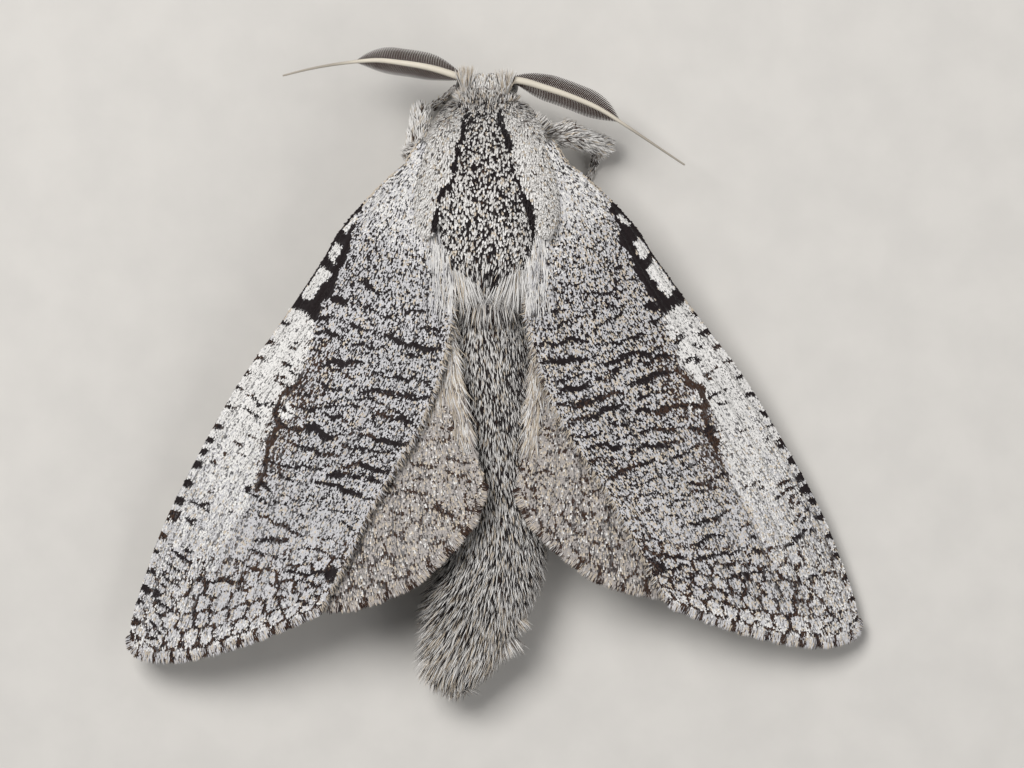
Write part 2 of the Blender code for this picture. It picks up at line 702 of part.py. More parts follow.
def grown_neighbours():
    """Helpers a gap larger than the pieces that limbs and wings grow from."""
    body = as_cutter(straight_body("thorax_clearance", THORAX, 13, GAP))
    flaps = [as_cutter(tegula(f"flap_clearance_{side}", side, GAP)) for side in SIDES]
    belly = as_cutter(curved_body("abdomen_clearance", 17, GAP))
    skull = as_cutter(straight_body("head_clearance", HEAD, 8, GAP))
    corner = FLOOR_REACH / 2
    points = [(x, y, z) for x in (-corner, corner) for y in (-corner, corner) for z in (-5, 0)]
    faces = [(0, 1, 3, 2), (4, 6, 7, 5), (0, 4, 5, 1), (2, 3, 7, 6), (0, 2, 6, 4), (1, 5, 7, 3)]
    floor = as_cutter(add_mesh("floor_plane", points, faces, smooth=False))
    return body, flaps, belly, skull, floor


def stand_on_origin(root, nodes):
    """Moves the moth so that its bounding box stands on the origin, centred."""
    bpy.context.view_layer.update()
    graph = bpy.context.evaluated_depsgraph_get()
    corners = []
    for node in nodes:
        mesh = node.evaluated_get(graph).to_mesh()
        corners += [node.matrix_world @ v.co for v in mesh.vertices]
    low = [min(c[k] for c in corners) for k in range(3)]
    high = [max(c[k] for c in corners) for k in range(3)]
    root.location = (-(low[0] + high[0]) / 2, -(low[1] + high[1]) / 2, -low[2])
    bpy.context.view_layer.update()


def main():
    for obj in list(bpy.data.objects):
        bpy.data.objects.remove(obj)
    paints = {name: finish(name, look) for name, look in FINISHES.items()}
    root = bpy.data.objects.new("moth", None)
    bpy.context.scene.collection.objects.link(root)
    body, flaps, belly, skull, floor = grown_neighbours()

    nodes = {}
    nodes["thorax"] = build_thorax()
    nodes["abdomen"] = build_abdomen()
    nodes["head"] = build_head()
    for side in SIDES:
        nodes[f"eye_{side}"] = build_eye(side)
        nodes[f"palp_{side}"] = cut_clear(build_palp(side), [skull])
        nodes[f"antenna_{side}"] = cut_clear(build_antenna(side), [skull])
        roof = bpy.data.objects.new(f"roof_{side}", None)
        bpy.context.scene.collection.objects.link(roof)
        roof.parent = root
        roof.matrix_local = roof_matrix(side)
        fore, hind = build_wings(side, roof)
        bpy.context.view_layer.update()
        nodes[f"forewing_{side}"] = cut_clear(fore, [body, *flaps, belly])
        nodes[f"hindwing_{side}"] = cut_clear(hind, [body, *flaps, belly])
    for name in LEG_JOINTS:
        nodes[name] = cut_clear(build_leg(name), [body, belly, floor])

    for name, node in nodes.items():
        if node.parent is None:
            node.parent = root
        slot = "body_coat"
        for part, paint in (("forewing", "forewing_scales"), ("hindwing", "hindwing_scales"),
                            ("eye", "compound_eye"), ("antenna", "antenna_scales"),
                            ("leg", "leg_scales")):
            if part in name:
                slot = paint
        node.data.materials.clear()
        node.data.materials.append(paints[slot])
    stand_on_origin(root, nodes.values())


main()
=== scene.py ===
"""A male wood moth, Endoxyla secta, resting at life size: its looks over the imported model.

The moth's own measures are in millimetres from the middle of its body, +X its right, +Y where
its head points and +Z up. build_mesh turns them into metres and moves them to the model's place.
One skin stands for the body and legs. Hair scales cover it, broad scales cover the wings, and
every scale is a small closed blade whose colour follows the markings at its root.
"""

import math
import random

import bpy
import numpy as np
from bpy.props import FloatProperty, FloatVectorProperty, PointerProperty
from mathutils import Matrix, Vector


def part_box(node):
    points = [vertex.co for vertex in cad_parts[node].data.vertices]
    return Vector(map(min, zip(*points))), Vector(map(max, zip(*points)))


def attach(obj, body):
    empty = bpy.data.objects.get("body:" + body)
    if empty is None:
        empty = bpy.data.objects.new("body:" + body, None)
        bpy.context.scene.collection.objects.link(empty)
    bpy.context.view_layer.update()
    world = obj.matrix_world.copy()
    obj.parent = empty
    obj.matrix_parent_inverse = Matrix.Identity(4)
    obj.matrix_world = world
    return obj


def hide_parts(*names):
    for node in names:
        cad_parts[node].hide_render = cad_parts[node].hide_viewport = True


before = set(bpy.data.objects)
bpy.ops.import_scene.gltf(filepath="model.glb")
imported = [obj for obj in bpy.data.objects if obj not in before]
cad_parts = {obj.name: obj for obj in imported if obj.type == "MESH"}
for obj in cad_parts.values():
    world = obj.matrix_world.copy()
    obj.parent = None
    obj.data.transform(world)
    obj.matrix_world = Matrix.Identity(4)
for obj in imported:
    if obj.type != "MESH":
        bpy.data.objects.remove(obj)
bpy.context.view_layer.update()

bl_info = {
    "name": "Wood moth at rest",
    "version": (1, 0, 0),
    "blender": (4, 5, 0),
    "location": "3D View > Sidebar > Moth",
    "description": "Builds a life-size resting wood moth, its coat of scales and its studio",
    "category": "Object",
}

MM = 0.001
SIDES = {"left": -1, "right": 1}
BODY = "root"

# Trunk stations, head and thorax: y, x of the middle, height of the middle, half width, half height.
HEAD = [
    (17.1, 0, 4.60, 0.60, 0.65), (16.9, 0, 4.68, 1.00, 1.13), (16.6, 0, 4.78, 1.35, 1.50),
    (16.3, 0, 4.90, 1.62, 1.70), (15.6, 0, 4.95, 1.75, 1.80),
]
THORAX = [
    (15.75, 0, 5.15, 1.75, 1.75), (15.3, 0, 5.15, 2.50, 2.25), (14.6, 0, 5.18, 3.10, 2.78),
    (13.8, 0, 5.25, 3.50, 3.15), (12.6, 0, 5.38, 3.85, 3.48), (11.0, 0, 5.48, 4.00, 3.73),
    (9.0, 0, 5.53, 3.95, 3.83), (7.0, 0, 5.43, 3.60, 3.63), (5.4, 0, 5.25, 3.10, 3.05),
    (4.0, 0, 5.03, 2.65, 2.38),
]
ABDOMEN = [
    (5.0, 0.0, 5.10, 2.50, 2.30), (3.7, 0.0, 5.02, 2.65, 2.37), (1.0, 0.0, 4.60, 2.80, 2.35),
    (-2.0, 0.1, 4.15, 2.95, 2.35), (-6.0, 0.3, 3.75, 3.10, 2.40), (-9.8, 0.2, 3.50, 2.95, 2.25),
    (-12.0, -0.45, 3.30, 2.65, 2.05), (-14.2, -1.10, 3.00, 2.15, 1.65),
    (-15.8, -1.75, 2.75, 1.45, 1.20), (-16.7, -2.05, 2.65, 0.80, 0.75),
]
# One line through all three, for the coat and its markings.
TRUNK = HEAD[:3] + THORAX[2:-1] + ABDOMEN[1:]
# The tubes of the trunk: stations, rings, and fullness of their ovals, squarer under 1.
TRUNK_TUBES = [(HEAD, 24, 0.92), (THORAX, 48, 0.92), (ABDOMEN, 80, 0.95)]
TRUNK_SIDES = 40
LIMB_SIDES = 16
EYE_PLACE = (1.02, 16.5, 4.2)
EYE_RADIUS = 0.72
PALP_JOINTS = [(0.42, 16.1, 3.75), (0.42, 16.8, 2.75), (0.42, 17.05, 3.15)]
PALP_RADII = [(0.34, 0.36), (0.34, 0.24)]
TEGULA_PLACE = (2.80, 11.3, 7.75)
TEGULA_HALF = (1.55, 3.6, 0.75)
TEGULA_TURNS = {"Z": 9, "X": -8, "Y": 40}  # degrees, signs for the moth's right side

# Legs: hip, knee, ankle, ball and toe, with x counted outwards, and each length's two radii.
MIDLEG = [(1.3, 10.4, 2.8), (5.0, 8.6, 3.5), (6.6, 6.2, 1.4), (7.5, 4.6, 0.24), (8.3, 3.2, 0.24)]
HINDLEG = [(1.3, 7.0, 2.9), (4.9, 2.6, 3.3), (6.0, -2.4, 1.3), (6.7, -5.0, 0.24), (7.4, -6.9, 0.24)]
LEGS = {
    "foreleg_left": [
        (1.2, 13.4, 3.0), (3.9, 12.9, 4.1), (3.7, 15.1, 2.1), (2.7, 15.9, 0.24), (1.7, 16.8, 0.24),
    ],
    "foreleg_right": [
        (1.2, 13.4, 3.0), (4.4, 13.9, 3.6), (6.4, 13.4, 1.7), (6.0, 12.3, 0.24), (5.5, 11.1, 0.24),
    ],
    "midleg_left": MIDLEG,
    "midleg_right": MIDLEG,
    "hindleg_left": HINDLEG,
    "hindleg_right": HINDLEG,
}
FORELEG_RADII = [(0.66, 0.76), (0.76, 0.62), (0.42, 0.34), (0.35, 0.30)]
LEG_RADII = [(0.62, 0.66), (0.60, 0.46), (0.40, 0.34), (0.35, 0.30)]

# Antennae from the head outwards, x counted outwards.
ANTENNAE = {
    "left": [
        (0.7, 16.6, 5.6), (1.7, 17.0, 5.9), (3.15, 17.45, 5.8), (4.8, 17.75, 5.5),
        (6.2, 17.9, 5.2), (8.15, 17.75, 4.7), (9.8, 17.5, 4.2), (11.35, 17.15, 3.8),
    ],
    "right": [
        (0.7, 16.5, 5.6), (1.6, 16.75, 5.9), (3.2, 16.35, 5.8), (4.85, 15.8, 5.5),
        (6.25, 15.2, 5.2), (7.65, 14.35, 4.7), (9.05, 13.45, 4.2), (11.0, 12.2, 3.5),
    ],
}
# The shaft: share of the length and radius, and the rings that its scales stand in.
SHAFT_RADII = [(0.0, 0.20), (0.15, 0.19), (0.5, 0.13), (0.65, 0.09), (1.0, 0.05)]
SHAFT_RINGS = 260
SHAFT_SIDES = 12
SCALE_RING_PITCH = 0.13
SCALE_RING_SWELL = 0.07
# The comb starts this far along the shaft and ends at a share of its length. Its teeth grow
# to full length over its first stretch, from a little before it, and shorten over its last.
COMB_START = 0.7
COMB_END = 0.60
COMB_RISE_FROM, COMB_RISE = 0.4, 2.4
COMB_FALL, COMB_LAST = 2.6, 0.1
# A tooth, on the hind side of the antenna a little shorter, bends to the tip and down.
TOOTH_LENGTH = 0.82
TOOTH_PITCH = 0.095
TOOTH_SHARES = (0.0, 0.35, 0.7, 1.0)
TOOTH_THICKNESS = (0.044, 0.044, 0.040, 0.020)
TOOTH_SIDES = 5
SHORT_TOOTH = 0.85
TOOTH_BEND = 0.35
TOOTH_DROOP = 0.55

# Wing outlines in the wing's own plane: distance out from the hinge, offset to the leading edge.
FOREWING = {
    "front": [
        (0, 1.0), (2.4, 1.85), (5.2, 2.45), (7.0, 2.45), (11.0, 2.75), (15.5, 3.2), (20.1, 3.15),
        (24.4, 2.85), (27.6, 2.2), (29.8, 1.6), (31.2, 0.9),
    ],
    "outer": [(31.2, 0.9), (31.6, 0.2), (31.1, -1.2), (29.95, -2.75), (27.9, -4.65), (25.9, -6.2),
              (23.7, -7.7)],
    "hind": [(0, -1.0), (2.5, -3.6), (6.1, -6.0), (11.4, -7.3), (16.5, -7.3), (20.5, -7.6),
             (23.7, -7.7)],
    "veins": [0.07, 0.17, 0.28, 0.39, 0.50, 0.61, 0.72, 0.83, 0.93],
    "forks": [0.0, 0.0, 0.35, 0.50, 0.50, 0.50, 0.35, 0.0, 0.0],
}
HINDWING = {
    "front": [(0, 0.8), (5.0, 2.2), (11.5, 4.1), (18.0, 5.6), (20.8, 5.6)],
    "outer": [(20.8, 5.6), (22.5, 4.2), (22.75, 2.1), (21.0, -1.4), (19.7, -2.65), (16.9, -4.5),
              (14.6, -5.0)],
    "hind": [(0, -0.8), (3.5, -1.2), (6.3, -1.9), (8.9, -2.75), (11.8, -3.8), (14.6, -5.0)],
    "veins": [0.10, 0.24, 0.38, 0.52, 0.66, 0.80, 0.92],
    "forks": [0.0, 0.40, 0.40, 0.50, 0.40, 0.0, 0.0],
}
WINGS = {"forewing": FOREWING, "hindwing": HINDWING}
# The roof that both wings of a side lie in: hinge, then sweep, droop and roll in degrees.
ROOF_HINGE = (3.75, 11.6, 7.4)
ROOF_SWEEP = {"left": 30.6, "right": 32.9}
ROOF_DROOP = {"left": 7.5, "right": 10}
ROOF_ROLL = 17
# How far the roof falls per square millimetre: before and behind its top line, and outwards.
COSTA_CAMBER = 0.03
INNER_CAMBER = 0.009
TIP_CAMBER = 0.0005
CAMBER_LINE = -2.0
# The hindwing in the roof's plane: hinge, turn in degrees, and depth below the forewing.
HINDWING_HINGE = (1.3, -1.8)
HINDWING_TURN = {"left": 22.5, "right": 19.3}
HINDWING_DROP = 0.68
ROOT_REACH = 1.6  # how far each membrane runs in under the thorax
ROOT_RUN = 31  # what one share of the way out is worth there
MEMBRANE_END = 0.985  # share of the way out, and the fringe takes the rest
MEMBRANE_SIDES = (0.004, 0.996)  # where its front and hind edge lie
MEMBRANE_GRID = (120, 56)
MEMBRANE_HALF = 0.10
MARGIN_BULGE = 2.5  # the higher, the nearer to the margin its bulge sets in
VEIN_RISE = 0.10
VEIN_HALF_WIDTH = 0.16
VEIN_FADE = 0.12  # share of the way out over which a forked vein rises
VEIN_END = 0.9  # where the veins begin to sink into the margin


def hermite(rows, key):
    """The values of rows, a table sorted by its first column, smoothly read at each key."""
    table = np.array(rows, float)
    if table[0, 0] > table[-1, 0]:
        table = table[::-1]
    last = len(table) - 1
    key = np.asarray(key, float)
    at = np.clip(key, table[0, 0], table[-1, 0])
    i = np.clip(np.searchsorted(table[:, 0], at, "right") - 1, 0, last - 1)
    low = np.maximum(np.arange(last + 1) - 1, 0)
    high = np.minimum(np.arange(last + 1) + 1, last)
    slope = (table[high, 1:] - table[low, 1:]) / (table[high, :1] - table[low, :1])
    span = (table[i + 1, 0] - table[i, 0])[..., None]
    u = (at - table[i, 0])[..., None] / span
    return (
        table[i, 1:] * (1 + 2 * u) * (1 - u) ** 2 + table[i + 1, 1:] * u * u * (3 - 2 * u)
        + span * (slope[i] * u * (1 - u) ** 2 - slope[i + 1] * u * u * (1 - u))
    )


def along(points, share):
    """The points at shares of a smooth curve's length through points."""
    line = np.array(points, float)
    reach = np.concatenate([[0], np.cumsum(np.linalg.norm(np.diff(line, axis=0), axis=1))])
    return hermite(np.column_stack([reach / reach[-1], line]), share)


def unit(vectors):
    """Vectors of length one."""
    return vectors / np.maximum(np.linalg.norm(vectors, axis=-1, keepdims=True), 1e-9)


def smooth(low, high, value):
    """0 at low, 1 at high, and a soft step between."""
    t = np.clip((value - low) / (high - low), 0, 1)
    return t * t * (3 - 2 * t)


def noise(x, y, size, seed):
    """Smooth blotches about size across, from 0 to 1."""
    cells = 61
    table = np.random.RandomState(seed).rand(cells, cells)
    gx, gy = np.asarray(x) / size, np.asarray(y) / size
    ix, iy = np.floor(gx).astype(int), np.floor(gy).astype(int)
    fx, fy = smooth(0, 1, gx - ix), smooth(0, 1, gy - iy)
    a, b = table[ix % cells, iy % cells], table[(ix + 1) % cells, iy % cells]
    c, d = table[ix % cells, (iy + 1) % cells], table[(ix + 1) % cells, (iy + 1) % cells]
    return (a * (1 - fx) + b * fx) * (1 - fy) + (c * (1 - fx) + d * fx) * fy


def home():
    """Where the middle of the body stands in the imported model, in metres."""
    low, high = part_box("eye_left")
    place = Vector((-EYE_PLACE[0], EYE_PLACE[1], EYE_PLACE[2])) * MM
    return np.array((low + high) / 2 - place)


# Colours and materials


def linear(code):
    """An sRGB hex colour as linear red, green and blue."""
    parts = [int(code[k:k + 2], 16) / 255 for k in (0, 2, 4)]
    return tuple(p / 12.92 if p <= 0.04045 else ((p + 0.055) / 1.055) ** 2.4 for p in parts)


def add_node(tree, kind, settings=(), links=()):
    """A new node with its settings, and a value or source for each input that links names.

    Links is a table of inputs by name or number, or a list for the first inputs in order.
    """
    node = tree.nodes.new(kind)
    for name, value in dict(settings).items():
        setattr(node, name, value)
    for key, value in links.items() if isinstance(links, dict) else enumerate(links):
        if isinstance(value, bpy.types.NodeSocket):
            tree.links.new(value, node.inputs[key])
        else:
            node.inputs[key].default_value = value
    return node


def blank_material(name):
    """A material with an empty node tree, and that tree."""
    material = bpy.data.materials.new(name)
    material.use_nodes = True
    material.node_tree.nodes.clear()
    return material, material.node_tree


def per_metre(size_mm):
    """The scale setting of a pattern whose features are size_mm across."""
    return 1 / (size_mm * MM)


# Sizes of patterns: clouds of tone over scales and in the eyes, and the eyes' lenses.
CLOUD_MM = 2.4
EYE_CLOUD_MM = 0.5
LENS_MM = 0.055


def scale_material(name, colours, roughness, sheen, ridge_mm):
    """Chitin scales: marking pigment, chance tone, ridges, and roots darkened partly as painted shade.

    Colours are the base, dark, brown, white and warm tones. The ridges of a real scale are
    about 0.002 mm apart, too fine to show, so ridge_mm draws them ten or more times coarser.
    """
    material, tree = blank_material(name)
    base, dark, brown, white, warm = [(*c, 1) for c in colours]
    place = add_node(tree, "ShaderNodeTexCoord").outputs["Object"]
    marking = add_node(tree, "ShaderNodeAttribute", {"attribute_name": "marking"})
    shares = add_node(tree, "ShaderNodeSeparateColor", {}, [marking.outputs["Color"]])
    chance = add_node(tree, "ShaderNodeAttribute", {"attribute_name": "chance"}).outputs["Fac"]
    reach = add_node(tree, "ShaderNodeAttribute", {"attribute_name": "reach"}).outputs["Fac"]
    # Clouds a few millimetres across keep large areas from looking even.
    blotch = add_node(tree, "ShaderNodeTexNoise", {},
                      {"Vector": place, "Scale": per_metre(CLOUD_MM), "Detail": 3.0})
    tone = add_node(tree, "ShaderNodeMapRange", {},
                    [blotch.outputs["Fac"], 0.35, 0.65, 0.96, 1.04]).outputs[0]
    colour = base
    for share, pigment in ((shares.outputs[2], white), (marking.outputs["Alpha"], warm),
                           (shares.outputs[1], brown), (shares.outputs[0], dark)):
        colour = add_node(tree, "ShaderNodeMix", {"data_type": "RGBA"},
                          {0: share, 6: colour, 7: pigment}).outputs[2]
    # Darker roots: partly a scale's own base pigment, partly painted shade under overlapping scales.
    for value, span in ((chance, (0, 1, 0.88, 1.08)), (reach, (0, 0.7, 0.86, 1.0))):
        factor = add_node(tree, "ShaderNodeMapRange", {}, [value, *span]).outputs[0]
        tone = add_node(tree, "ShaderNodeMath", {"operation": "MULTIPLY"},
                        [tone, factor]).outputs[0]
    shade = add_node(tree, "ShaderNodeHueSaturation", {}, {"Value": tone, "Color": colour})
    ridges = add_node(tree, "ShaderNodeTexNoise", {},
                      {"Vector": place, "Scale": per_metre(ridge_mm), "Detail": 1.0})
    bump = add_node(tree, "ShaderNodeBump", {},
                    {"Strength": 0.4, "Distance": 0.06 * ridge_mm * MM,
                     "Height": ridges.outputs["Fac"]})
    gloss = add_node(tree, "ShaderNodeMapRange", {},
                     [ridges.outputs["Fac"], 0.3, 0.7, roughness - 0.08, roughness + 0.08])
    shader = add_node(tree, "ShaderNodeBsdfPrincipled", {}, {
        "Base Color": shade.outputs[0], "Roughness": gloss.outputs[0],
        "Normal": bump.outputs[0],
        "Specular IOR Level": 0.15, "Sheen Weight": sheen, "Sheen Roughness": 0.5,
    })
    add_node(tree, "ShaderNodeOutputMaterial", {}, {"Surface": shader.outputs[0]})
    return material


def grained_material(name, light, dark, roughness, grain_mm, bump_mm):
    """A bare hard surface: two tones in fine grain, and bump as deep as bump_mm."""
    material, tree = blank_material(name)
    place = add_node(tree, "ShaderNodeTexCoord").outputs["Object"]
    grain = add_node(tree, "ShaderNodeTexNoise", {},
                     {"Vector": place, "Scale": per_metre(grain_mm), "Detail": 4.0})
    share = add_node(tree, "ShaderNodeMapRange", {}, [grain.outputs["Fac"], 0.35, 0.65, 0, 1])
    colour = add_node(tree, "ShaderNodeMix", {"data_type": "RGBA"},
                      {0: share.outputs[0], 6: (*dark, 1), 7: (*light, 1)})
    bump = add_node(tree, "ShaderNodeBump", {},
                    {"Strength": 0.5, "Distance": bump_mm * MM, "Height": grain.outputs["Fac"]})
    gloss = add_node(tree, "ShaderNodeMapRange", {},
                     [grain.outputs["Fac"], 0.3, 0.7, roughness - 0.1, roughness + 0.1])
    shader = add_node(tree, "ShaderNodeBsdfPrincipled", {}, {
        "Base Color": colour.outputs[2], "Roughness": gloss.outputs[0],
        "Normal": bump.outputs[0],
    })
    add_node(tree, "ShaderNodeOutputMaterial", {}, {"Surface": shader.outputs[0]})
    return material


def eye_material(name, colour, shine):
    """Compound eye: hexagonal lenses, drawn about twice as coarse as real so that they show."""
    material, tree = blank_material(name)
    place = add_node(tree, "ShaderNodeTexCoord").outputs["Object"]
    lenses = add_node(tree, "ShaderNodeTexVoronoi", {"feature": "F1"},
                      {"Vector": place, "Scale": per_metre(LENS_MM), "Randomness": 0.15})
    cloud = add_node(tree, "ShaderNodeTexNoise", {},
                     {"Vector": place, "Scale": per_metre(EYE_CLOUD_MM)})
    share = add_node(tree, "ShaderNodeMapRange", {}, [cloud.outputs["Fac"], 0.3, 0.7, 0, 1])
    tone = add_node(tree, "ShaderNodeMix", {"data_type": "RGBA"},
                    {0: share.outputs[0], 6: (*colour, 1), 7: (*shine, 1)})
    dome = add_node(tree, "ShaderNodeMapRange", {}, [lenses.outputs["Distance"], 0, 0.6, 1, 0])
    bump = add_node(tree, "ShaderNodeBump", {},
                    {"Strength": 0.7, "Distance": 0.012 * MM, "Height": dome.outputs[0]})
    gloss = add_node(tree, "ShaderNodeMapRange", {}, [dome.outputs[0], 0, 1, 0.38, 0.22])
    shader = add_node(tree, "ShaderNodeBsdfPrincipled", {}, {
        "Base Color": tone.outputs[2], "Roughness": gloss.outputs[0],
        "Normal": bump.outputs[0], "Coat Weight": 0.25, "Coat Roughness": 0.2,
    })
    add_node(tree, "ShaderNodeOutputMaterial", {}, {"Surface": shader.outputs[0]})
    return material


# Meshes


def build_mesh(name, points, faces):
    """A mesh from points in millimetres and arrays of faces, each array of one face size."""
    mesh = bpy.data.meshes.new(name)
    mesh.vertices.add(len(points))
    mesh.vertices.foreach_set("co", (home() + points * MM).astype(np.float32).ravel())
    sizes = np.concatenate([np.full(len(f), f.shape[1]) for f in faces])
    corners = np.concatenate([f.ravel() for f in faces]).astype(np.int32)
    mesh.loops.add(len(corners))
    mesh.loops.foreach_set("vertex_index", corners)
    mesh.polygons.add(len(sizes))
    starts = np.concatenate([[0], np.cumsum(sizes)[:-1]]).astype(np.int32)
    mesh.polygons.foreach_set("loop_start", starts)
    mesh.update(calc_edges=True)
    return mesh


def show(name, mesh, material, nodes=()):
    """Puts a finished mesh in the scene as a piece on the body, in place of CAD nodes."""
    piece = bpy.data.objects.new(name, mesh)
    bpy.context.scene.collection.objects.link(piece)
    mesh.materials.append(material)
    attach(piece, BODY)
    if nodes:
        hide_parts(*nodes)


def put_marking(mesh, marking, chance=None, reach=None):
    """Stores each vertex's marking, its scale's chance tone and its place along the scale."""
    count = len(mesh.vertices)
    layer = mesh.attributes.new("marking", "FLOAT_COLOR", "POINT")
    layer.data.foreach_set("color", np.ascontiguousarray(marking, np.float32).ravel())
    for name, values in (("chance", chance), ("reach", reach)):
        layer = mesh.attributes.new(name, "FLOAT", "POINT")
        full = np.full(count, 0.5) if values is None else values
        layer.data.foreach_set("value", np.ascontiguousarray(full, np.float32))


def put_bake_map(mesh, places):
    """Stores the map OFBake from each vertex's place on it."""
    corners = np.empty(len(mesh.loops), np.int32)
    mesh.loops.foreach_get("vertex_index", corners)
    layer = mesh.uv_layers.new(name="OFBake")
    layer.data.foreach_set("uv", np.clip(places[corners], 0, 1).astype(np.float32).ravel())


BAKE_PATCH = 0.003  # each scale's share of the bake map
# A hair is a three-sided blade with a point, a blunt scale a low roof with a square end, and a
# wedge the same with a flat top and one ridge below, for scales by the ten thousand.
HAIR_FACES = np.array([
    (0, 2, 1), (0, 1, 4), (0, 4, 3), (1, 2, 5), (1, 5, 4), (2, 0, 3), (2, 3, 5),
    (3, 4, 6), (4, 5, 6), (5, 3, 6),
])
BLUNT_FACES = np.array([
    (0, 2, 4), (0, 4, 3), (0, 3, 1), (2, 0, 5), (4, 2, 5), (3, 4, 5), (1, 3, 5), (0, 1, 5),
])
WEDGE_FACES = np.array([(0, 2, 1), (0, 1, 3), (1, 2, 3), (2, 0, 3)])
# Each scale's corners: share along, share across, lift in lengths and lift in widths.
SCALE_SHAPES = {
    "hair": (HAIR_FACES, [
        (-0.06, -0.30, 0, 0), (-0.06, 0, 0, 0.20), (-0.06, 0.30, 0, 0),
        (0.55, -0.50, 0, 0), (0.55, 0, 0, 0.32), (0.55, 0.50, 0, 0), (1.0, 0, -0.10, 0),
    ]),
    "blunt": (BLUNT_FACES, [
        (-0.10, 0, 0, 0), (0.62, -0.50, 0.03, 0), (0.62, 0.50, 0.03, 0), (1.0, -0.30, -0.05, 0),
        (1.0, 0.30, -0.05, 0), (0.55, 0, 0, -0.30),
    ]),
    "wedge": (WEDGE_FACES, [
        (0, 0, 0, 0), (1.0, -0.50, -0.04, 0), (1.0, 0.50, -0.04, 0), (0.6, 0, 0, -0.25),
    ]),
}


def scale_mesh(name, shape, roots, lie, up, length, width, lift, marking, chance, unwrap):
    """One mesh of closed scales or hairs of one shape, each lifted by an angle off its lie."""
    faces, corners = SCALE_SHAPES[shape]
    corner = np.array(corners, float)
    angle = lift[:, None]
    ahead = lie * np.cos(angle) + up * np.sin(angle)
    out = up * np.cos(angle) - lie * np.sin(angle)
    side = np.cross(ahead, out)
    length, width = length[:, None, None], width[:, None, None]
    off_it = corner[:, 2, None] * length + corner[:, 3, None] * width
    points = (roots[:, None] + ahead[:, None] * (corner[:, 0, None] * length)
              + side[:, None] * (corner[:, 1, None] * width) + out[:, None] * off_it)
    count, size = len(roots), len(corner)
    index = (np.arange(count)[:, None, None] * size + faces).reshape(-1, 3)
    mesh = build_mesh(name, points.reshape(-1, 3), [index])
    put_marking(mesh, np.repeat(marking, size, axis=0), np.repeat(chance, size),
                np.tile(corner[:, 0], count))
    patch = corner[:, [0, 1]] * BAKE_PATCH
    put_bake_map(mesh, (unwrap[:, None] + patch).reshape(-1, 2))
    mesh.shade_flat()
    return mesh


def spread(values):
    """Values moved so that they run from 0.01 to 0.99."""
    return (values - values.min()) / max(np.ptp(values), 1e-9) * 0.98 + 0.01


def grid_faces(rows, columns, closed):
    """Quads between rows of points; closed joins each row's end to its start."""
    wide = columns if closed else columns - 1
    r, c = np.meshgrid(np.arange(rows - 1), np.arange(wide), indexing="ij")
    a, b = r * columns + c, r * columns + (c + 1) % columns
    return np.stack([a, b, b + columns, a + columns], axis=-1).reshape(-1, 4)


def closed_tube(rings):
    """Points and triangles of a tube through rings of points, with a fan on each end."""
    count, sides = rings.shape[:2]
    points = np.concatenate([rings.reshape(-1, 3), [rings[0].mean(0), rings[-1].mean(0)]])
    quads = grid_faces(count, sides, True)
    k = np.arange(sides)
    first, last = np.full(sides, count * sides), np.full(sides, count * sides + 1)
    top = (count - 1) * sides
    faces = np.concatenate([
        quads[:, [0, 1, 2]], quads[:, [0, 2, 3]],
        np.stack([first, (k + 1) % sides, k], axis=1),
        np.stack([last, top + k, top + (k + 1) % sides], axis=1),
    ])
    return points, faces


def oval_rings(middles, ahead, half_width, half_height, sides, fullness=1.0):
    """Rings of points square to ahead round each middle. Fullness under 1 squares them."""
    ahead = unit(np.asarray(ahead, float))
    right = unit(np.cross(ahead, (0, 0, 1)))
    above = np.cross(right, ahead)
    turn = np.linspace(0, math.tau, sides, endpoint=False)
    c, s = np.cos(turn), np.sin(turn)
    x = np.sign(c) * np.abs(c) ** fullness
    z = np.sign(s) * np.abs(s) ** fullness
    return (
        middles[:, None] + right[:, None] * (x[:, None] * np.reshape(half_width, (-1, 1, 1)))
        + above[:, None] * (z[:, None] * np.reshape(half_height, (-1, 1, 1)))
    )


def egg(middle, ahead, halves, rings, sides, reach):
    """A closed egg whose half sizes run along ahead, across it and up.

    The outermost rings stand reach degrees from its widest place.
    """
    lean = np.radians(np.linspace(-reach, reach, rings))
    middles = np.array(middle) + np.outer(halves[0] * np.sin(lean), ahead)
    return closed_tube(oval_rings(middles, np.tile(ahead, (rings, 1)), halves[1] * np.cos(lean),
                                  halves[2] * np.cos(lean), sides))


def joined(parts):
    """Several sets of points and faces as one."""
    points, faces, start = [], [], 0
    for part_points, part_faces in parts:
        points.append(part_points)
        faces.append(part_faces + start)
        start += len(part_points)
    return np.concatenate(points), np.concatenate(faces)


# Skin


def trunk_tube(stations, rings, inset, fullness):
    """A closed tube through trunk stations, inset all round."""
    first, last = stations[0][0] - inset, stations[-1][0] + inset
    y = np.linspace(first, last, rings)
    values = hermite(stations, y)
    middles = np.column_stack([values[:, 0], y, values[:, 1]])
    ahead = np.gradient(middles, axis=0)
    return closed_tube(oval_rings(middles, ahead, values[:, 2] - inset,
                                  values[:, 3] - inset, TRUNK_SIDES, fullness))


def limb_tube(a, b, radius_a, radius_b, inset):
    """A tapered length of limb with rounded ends."""
    a, b = np.array(a, float), np.array(b, float)
    ahead = unit(b - a)
    lean = np.radians([-75, -50, -25, 25, 50, 75])
    ends = np.where(lean[:, None] < 0, a, b)
    radius = np.where(lean < 0, radius_a, radius_b) - inset
    middles = ends + ahead * (radius * np.sin(lean))[:, None]
    radius = radius * np.cos(lean)
    return closed_tube(oval_rings(middles, np.tile(ahead, (len(lean), 1)), radius, radius,
                                  LIMB_SIDES))


